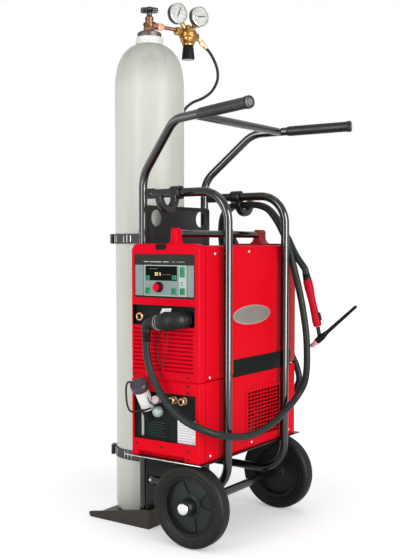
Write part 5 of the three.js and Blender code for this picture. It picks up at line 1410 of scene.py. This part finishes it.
plug = forward(turned([(0, 0), (20, 0), (20, 12), (25, 16), (25, 20), (24, 21), (24, 24), (25, 25),
                       (25, 34), (22, 38), (0, 38)], 48), 350, 676, -268.8)
hand_over(plug, "torch_plug_body", black_moulding, replaces=["torch_plug"])
boot_line = smooth_route([(350, -289, 676), (346, -310, 676), (324, -324, 675), (300, -323, 671),
                          (280, -322, 667), (262, -322, 666), (245, -322, 661), (238, -322, 650),
                          (238, -322, 640)], 8)
boot = tube(boot_line, 24, 28, spread([23, 25, 26, 25, 19.5, 18, 16, 15, 14], len(boot_line)))
hand_over(boot, "torch_boot", boot_rubber, smooth=60)
for i, x in enumerate((331, 321, 311)):
    rib_shape = spun([(24.5, -2), (27.2, -1.2), (27.2, 1.2), (24.5, 2)], 40, (x, -323, 673.5),
                     (x - 10, -323, 672.5))
    hand_over(rib_shape, f"boot_rib_{i}", boot_rubber)
for i, x in enumerate((285, 277)):
    tie = spun([(19, -0.8), (22, -0.8), (22, 0.8), (19, 0.8), (19, -0.8)], 40, (x, -322, 667.5),
               (x - 10, -322, 666.5))
    hand_over(tie, f"boot_tie_{i}", label_ink)
sleeve = turned([(11.2, 0), (13.6, 0), (13.6, 8), (12.4, 10), (12.4, 30), (11.2, 32)], 32)
hand_over(aim(sleeve, (238, -322, 641), (238, -322, 600)), "hose_strain_relief", black_moulding)
loop = [(277, -303, 655), (276, -301, 645), (267, -299, 620), (262, -298, 593), (264, -298, 566),
        (271, -298, 541), (280, -298, 532.5), (285, -298, 542), (290, -298, 568), (291, -298, 602),
        (294, -300, 640), (293, -303, 655)]
hand_over(tube(smooth_route(loop), 1.9, 10), "plug_leash", boot_rubber, smooth=60)

# %% [markdown]
# ## Torch
# The torch hangs by its hose beside the hoop. Its handle is red and waisted, with a black
# trigger. Below it the neck meets the head, with the long black cap of the electrode on one side
# and the pink ceramic nozzle on the other. The handle is turned work with a changing profile, and
# the lever's own block, a little grown, cuts the slot that it moves in.

# %% Torch
RING, HANDLE_END = Vector((476, 222, 774.7)), Vector((514.5, 222, 627))
HEAD = Vector((522.5, 222, 588))
CAP_END, NOZZLE_END = Vector((650, 222, 699)), Vector((491.5, 222, 561))
grip_length = (HANDLE_END - RING).length
down = (HANDLE_END - RING).normalized()
out = Vector((-down.z, 0, down.x))
handle_profile = [(0, -3), (12.4, -3), (13.6, -1), (14.8, 2),
                  *((radius, grip_length * share) for share, radius in (
    (0.15, 14.8), (0.22, 14.3), (0.32, 13.2), (0.45, 12.2), (0.58, 12.5), (0.72, 13.2), (0.82, 14.0),
    (0.88, 14.2), (0.93, 13.9), (0.97, 13), (0.99, 11.6), (1, 10), (1, 0)))]
shape = spun(handle_profile, 40, RING, HANDLE_END)


def trigger_block(grow=0.0):
    """The lever's block, in the handle's own direction, grown where it is used to cut its slot."""
    g, depth = grow, 8.2 if grow else 6
    pad = outlined(rounded(-depth - g, 4 + g, -5.5 - g, 5.5 + g, 1.5), -13 - g, 13 + g,
                   0 if grow else 0.8)
    middle = (RING.lerp(HANDLE_END, 0.8) + out * 14.2) * MM
    third = out.cross(Vector((0, 1, 0)))
    pad.matrix_world = Matrix(((out.x, 0, third.x, middle.x), (out.y, 1, third.y, middle.y),
                               (out.z, 0, third.z, middle.z), (0, 0, 0, 1)))
    return settle(pad)


hand_over(cut_away(shape, trigger_block(0.3)), "torch_grip", torch_red, replaces=["torch_handle"])
hand_over(trigger_block(), "torch_trigger_lever", black_moulding, "trigger", ["torch_trigger"])
relief_start = RING - down * 22.7
relief = spun([(11.1, 0), (12.5, 0), (12.5, 4), (11.6, 5.5), (12.8, 7), (11.8, 8.5), (13, 10),
               (12, 11.5), (13.2, 13),
                     (13.4, 21), (11, 22), (0, 22)], 36, relief_start, RING)
hand_over(relief, "torch_relief", black_moulding)
band = spun([(13.4, 0), (14.1, 0.5), (14.1, 4.5), (13.4, 5)], 36, RING + down * 2, HANDLE_END)
hand_over(band, "torch_band", label_white)
cap_line = (CAP_END - NOZZLE_END).normalized()
cup_start = HEAD - cap_line * 12.4
cup_length = (cup_start - NOZZLE_END).length
cup = spun([(5.4, 0), (10, 0), (10, 7), (9, 9), (7.6, 14), (7, cup_length), (4.8, cup_length),
            (4.8, 12), (5.4, 10), (5.4, 0)], 36,
          cup_start, cup_start - cap_line * cup_length)
hand_over(cup, "nozzle_cup", ceramic, replaces=["nozzle"])

# %% [markdown]
# ## Wheels
# The tyre is solid rubber with a rounded tread and a raised line on its wall. The rim is one
# dark moulding: a barrel, a web with five sunk pockets and a long hub. The tyre, the barrel and
# the hub are turned. The web is an outline with a thickness, and the pockets are cut into its
# outer face, so that the spokes between them stay flat. Bright domed caps close the axle.

# %% Wheels and axle caps
WHEEL_X, WHEEL_Y, WHEEL_Z = 350, 252.6, 125


def place_wheel(piece, sign):
    turn = Matrix.Rotation(math.radians(-90 * sign), 4, "X")
    piece.matrix_world = Matrix.Translation(mm(WHEEL_X, sign * WHEEL_Y, WHEEL_Z)) @ turn
    return settle(piece)


def tyre_profile():
    wall = [(86.3, 19), (90, 21.8), (96, 22.6), (97, 23.3), (99, 23.3), (100, 22.8), (104, 24.2),
            (110, 25), (115, 24.6), (119, 23), (122.4, 19.6), (124.3, 15), (125, 9)]
    return [*wall, *((r, -h) for r, h in reversed(wall)), wall[0]]


def pocket_outline(middle, inner=38, outer=74):
    half_in, half_out = 12.5, 20.5
    return [*arc((0, 0), outer, middle - half_out, middle + half_out, 8),
            *arc((0, 0), inner, middle + half_in, middle - half_in, 5)]


def rim_piece():
    barrel = turned([(79.5, -19), (86, -19), (86, 19), (83.5, 21), (81, 19), (79.5, 15), (79.5, -19)],
                    72)
    web = outlined(ring((0, 0), 80.5, 72), -4, 5, 1)
    pockets = [outlined(pocket_outline(18 + 72 * i), 1, 8) for i in range(5)]
    boss = turned([(8.4, -33), (20, -33), (21, -8), (30, -3.4), (33, 4.4), (27, 9), (24, 20), (23, 34),
                   (21, 37), (8.4, 37), (8.4, -33)], 48)
    return fuse(barrel, cut_away(web, *pockets), boss)


for side, sign in (("front", -1), ("rear", 1)):
    body = f"wheel_{side}"
    tyre = place_wheel(turned(tyre_profile(), 96), sign)
    hand_over(tyre, f"tyre_{side}_rubber", tyre_rubber, body, [f"tyre_{side}"])
    hand_over(place_wheel(rim_piece(), sign), f"rim_{side}_moulding", rim_moulding, body,
              [f"rim_{side}"])

axle = rod((WHEEL_X, -290, WHEEL_Z), (WHEEL_X, 290, WHEEL_Z), 7.9, 28)
domes = []
for sign in (-1, 1):
    dome = turned([(0, 0), (17.5, 0), (19, 1.5), (19, 4), (17.6, 9), (13.5, 13.6), (7.5, 16.4),
                   (0, 17.2)], 48)
    domes.append(aim(dome, (WHEEL_X, sign * 289.9, WHEEL_Z), (WHEEL_X, sign * 320, WHEEL_Z)))
hand_over(fuse(axle, *domes), "axle_and_caps", chrome, replaces=["axle_rod"])

# %% [markdown]
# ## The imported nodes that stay
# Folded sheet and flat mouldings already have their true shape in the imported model. They keep
# it, and only get a finish.

# %% Dress the remaining nodes
DRESSED = {
    "base_shoe": shoe_enamel, "tray": enamel, "axle_tube": tube_enamel, "case_cover": red_coat,
    "rear_bezel": rear_red,
    "control_panel": black_moulding, "connector_panel": black_moulding, "mains_switch": black_moulding,
    "cooler_case": red_coat, "cooler_panel": black_moulding, "cooler_fan": black_moulding,
    "torch_head": black_moulding,
}
for name, finish in DRESSED.items():
    data = nodes[name].data
    data.materials.clear()
    data.materials.append(finish.material)

# %% [markdown]
# ## Two free cords
# The hose pack and the gas hose aren't rigid, and the torch hangs on the hose pack. Here each is
# only a tube along its route, made near the top.

# %% [markdown]
# ## Floor and light
# The photograph is a cut-out on white, with only a soft shadow on the floor. The floor is white
# paper that also glows a little, more so far away, where it would otherwise turn grey. The sky
# is dim for the light on the object, and white for rays from the camera, off a mirror and
# through glass. A large lamp on the right and a narrow one in front give the light a direction,
# and weaker ones on the left and above fill the shadows. Two tall strips light nothing and are
# only mirrored: they draw the bright lines down the tubes.

# %% Stage and lamps
deselect()
bpy.ops.mesh.primitive_plane_add(size=24, location=(0, 0, -0.0006))
floor = bpy.context.object
floor.name = "paper_floor"
paper = Finish("white_paper", "white_plastic", (0.90, 0.90, 0.91), 0.9)
east, north, _ = paper.split()
ahead = east - 0.25
far = paper.node("MapRange", {}, {"Value": ahead * ahead + north * north, "From Min": 0.3,
                                  "From Max": 3.0,
                                  "To Min": 0.30, "To Max": 0.70})
paper.set("Emission Color", paper.blend(paper.seen() * far, (0, 0, 0), (1, 1, 1)))
paper.set("Emission Strength", 1.0)
floor.data.materials.append(paper.material)

world = bpy.data.worlds.new("studio")
bpy.context.scene.world = world
sky = Tree(world)
height = sky.node("SeparateXYZ", {}, {0: sky.node("TexCoord", out="Generated")}, out=2)
walls = sky.node("MapRange", {}, {"Value": height, "From Min": 0.1, "From Max": 0.9, "To Min": 0.14,
                                  "To Max": 0.6})
strength = sky.node("MapRange", {}, {"Value": sky.seen(), "To Min": walls, "To Max": 1.0})
backdrop = sky.nodes["Background"]
sky.feed(backdrop.inputs["Strength"], strength)
sky.feed(backdrop.inputs["Color"], (1, 1, 1, 1))


def lamp(name, place, target, width, height, power):
    data = bpy.data.lights.new(name, "AREA")
    data.shape = "RECTANGLE"
    data.size, data.size_y, data.energy = width, height, power
    piece = bpy.data.objects.new(name, data)
    bpy.context.scene.collection.objects.link(piece)
    piece.location = place
    piece.rotation_euler = (Vector(target) - Vector(place)).to_track_quat("-Z", "Y").to_euler()
    return piece


MIDDLE = (0.25, 0, 0.9)
lamp("right_box", (3.29, -0.99, 1.25), MIDDLE, 3.2, 2.7, 78)
lamp("front_box", (0.05, -3.0, 1.3), MIDDLE, 1.1, 2.6, 34)
lamp("strip", (0.05, -2.95, 1.3), MIDDLE, 0.9, 2.6, 85).visible_diffuse = False
lamp("side_strip", (3.1, -0.55, 1.3), MIDDLE, 1.0, 2.6, 225).visible_diffuse = False
lamp("left_fill", (-2.6, -1.4, 0.9), (0.1, 0, 0.7), 1.2, 2.2, 22)
lamp("top", (0.6, 0.4, 4.2), (0.2, 0, 0.6), 2.5, 2.5, 18)
bpy.context.scene.view_settings.view_transform = "Standard"
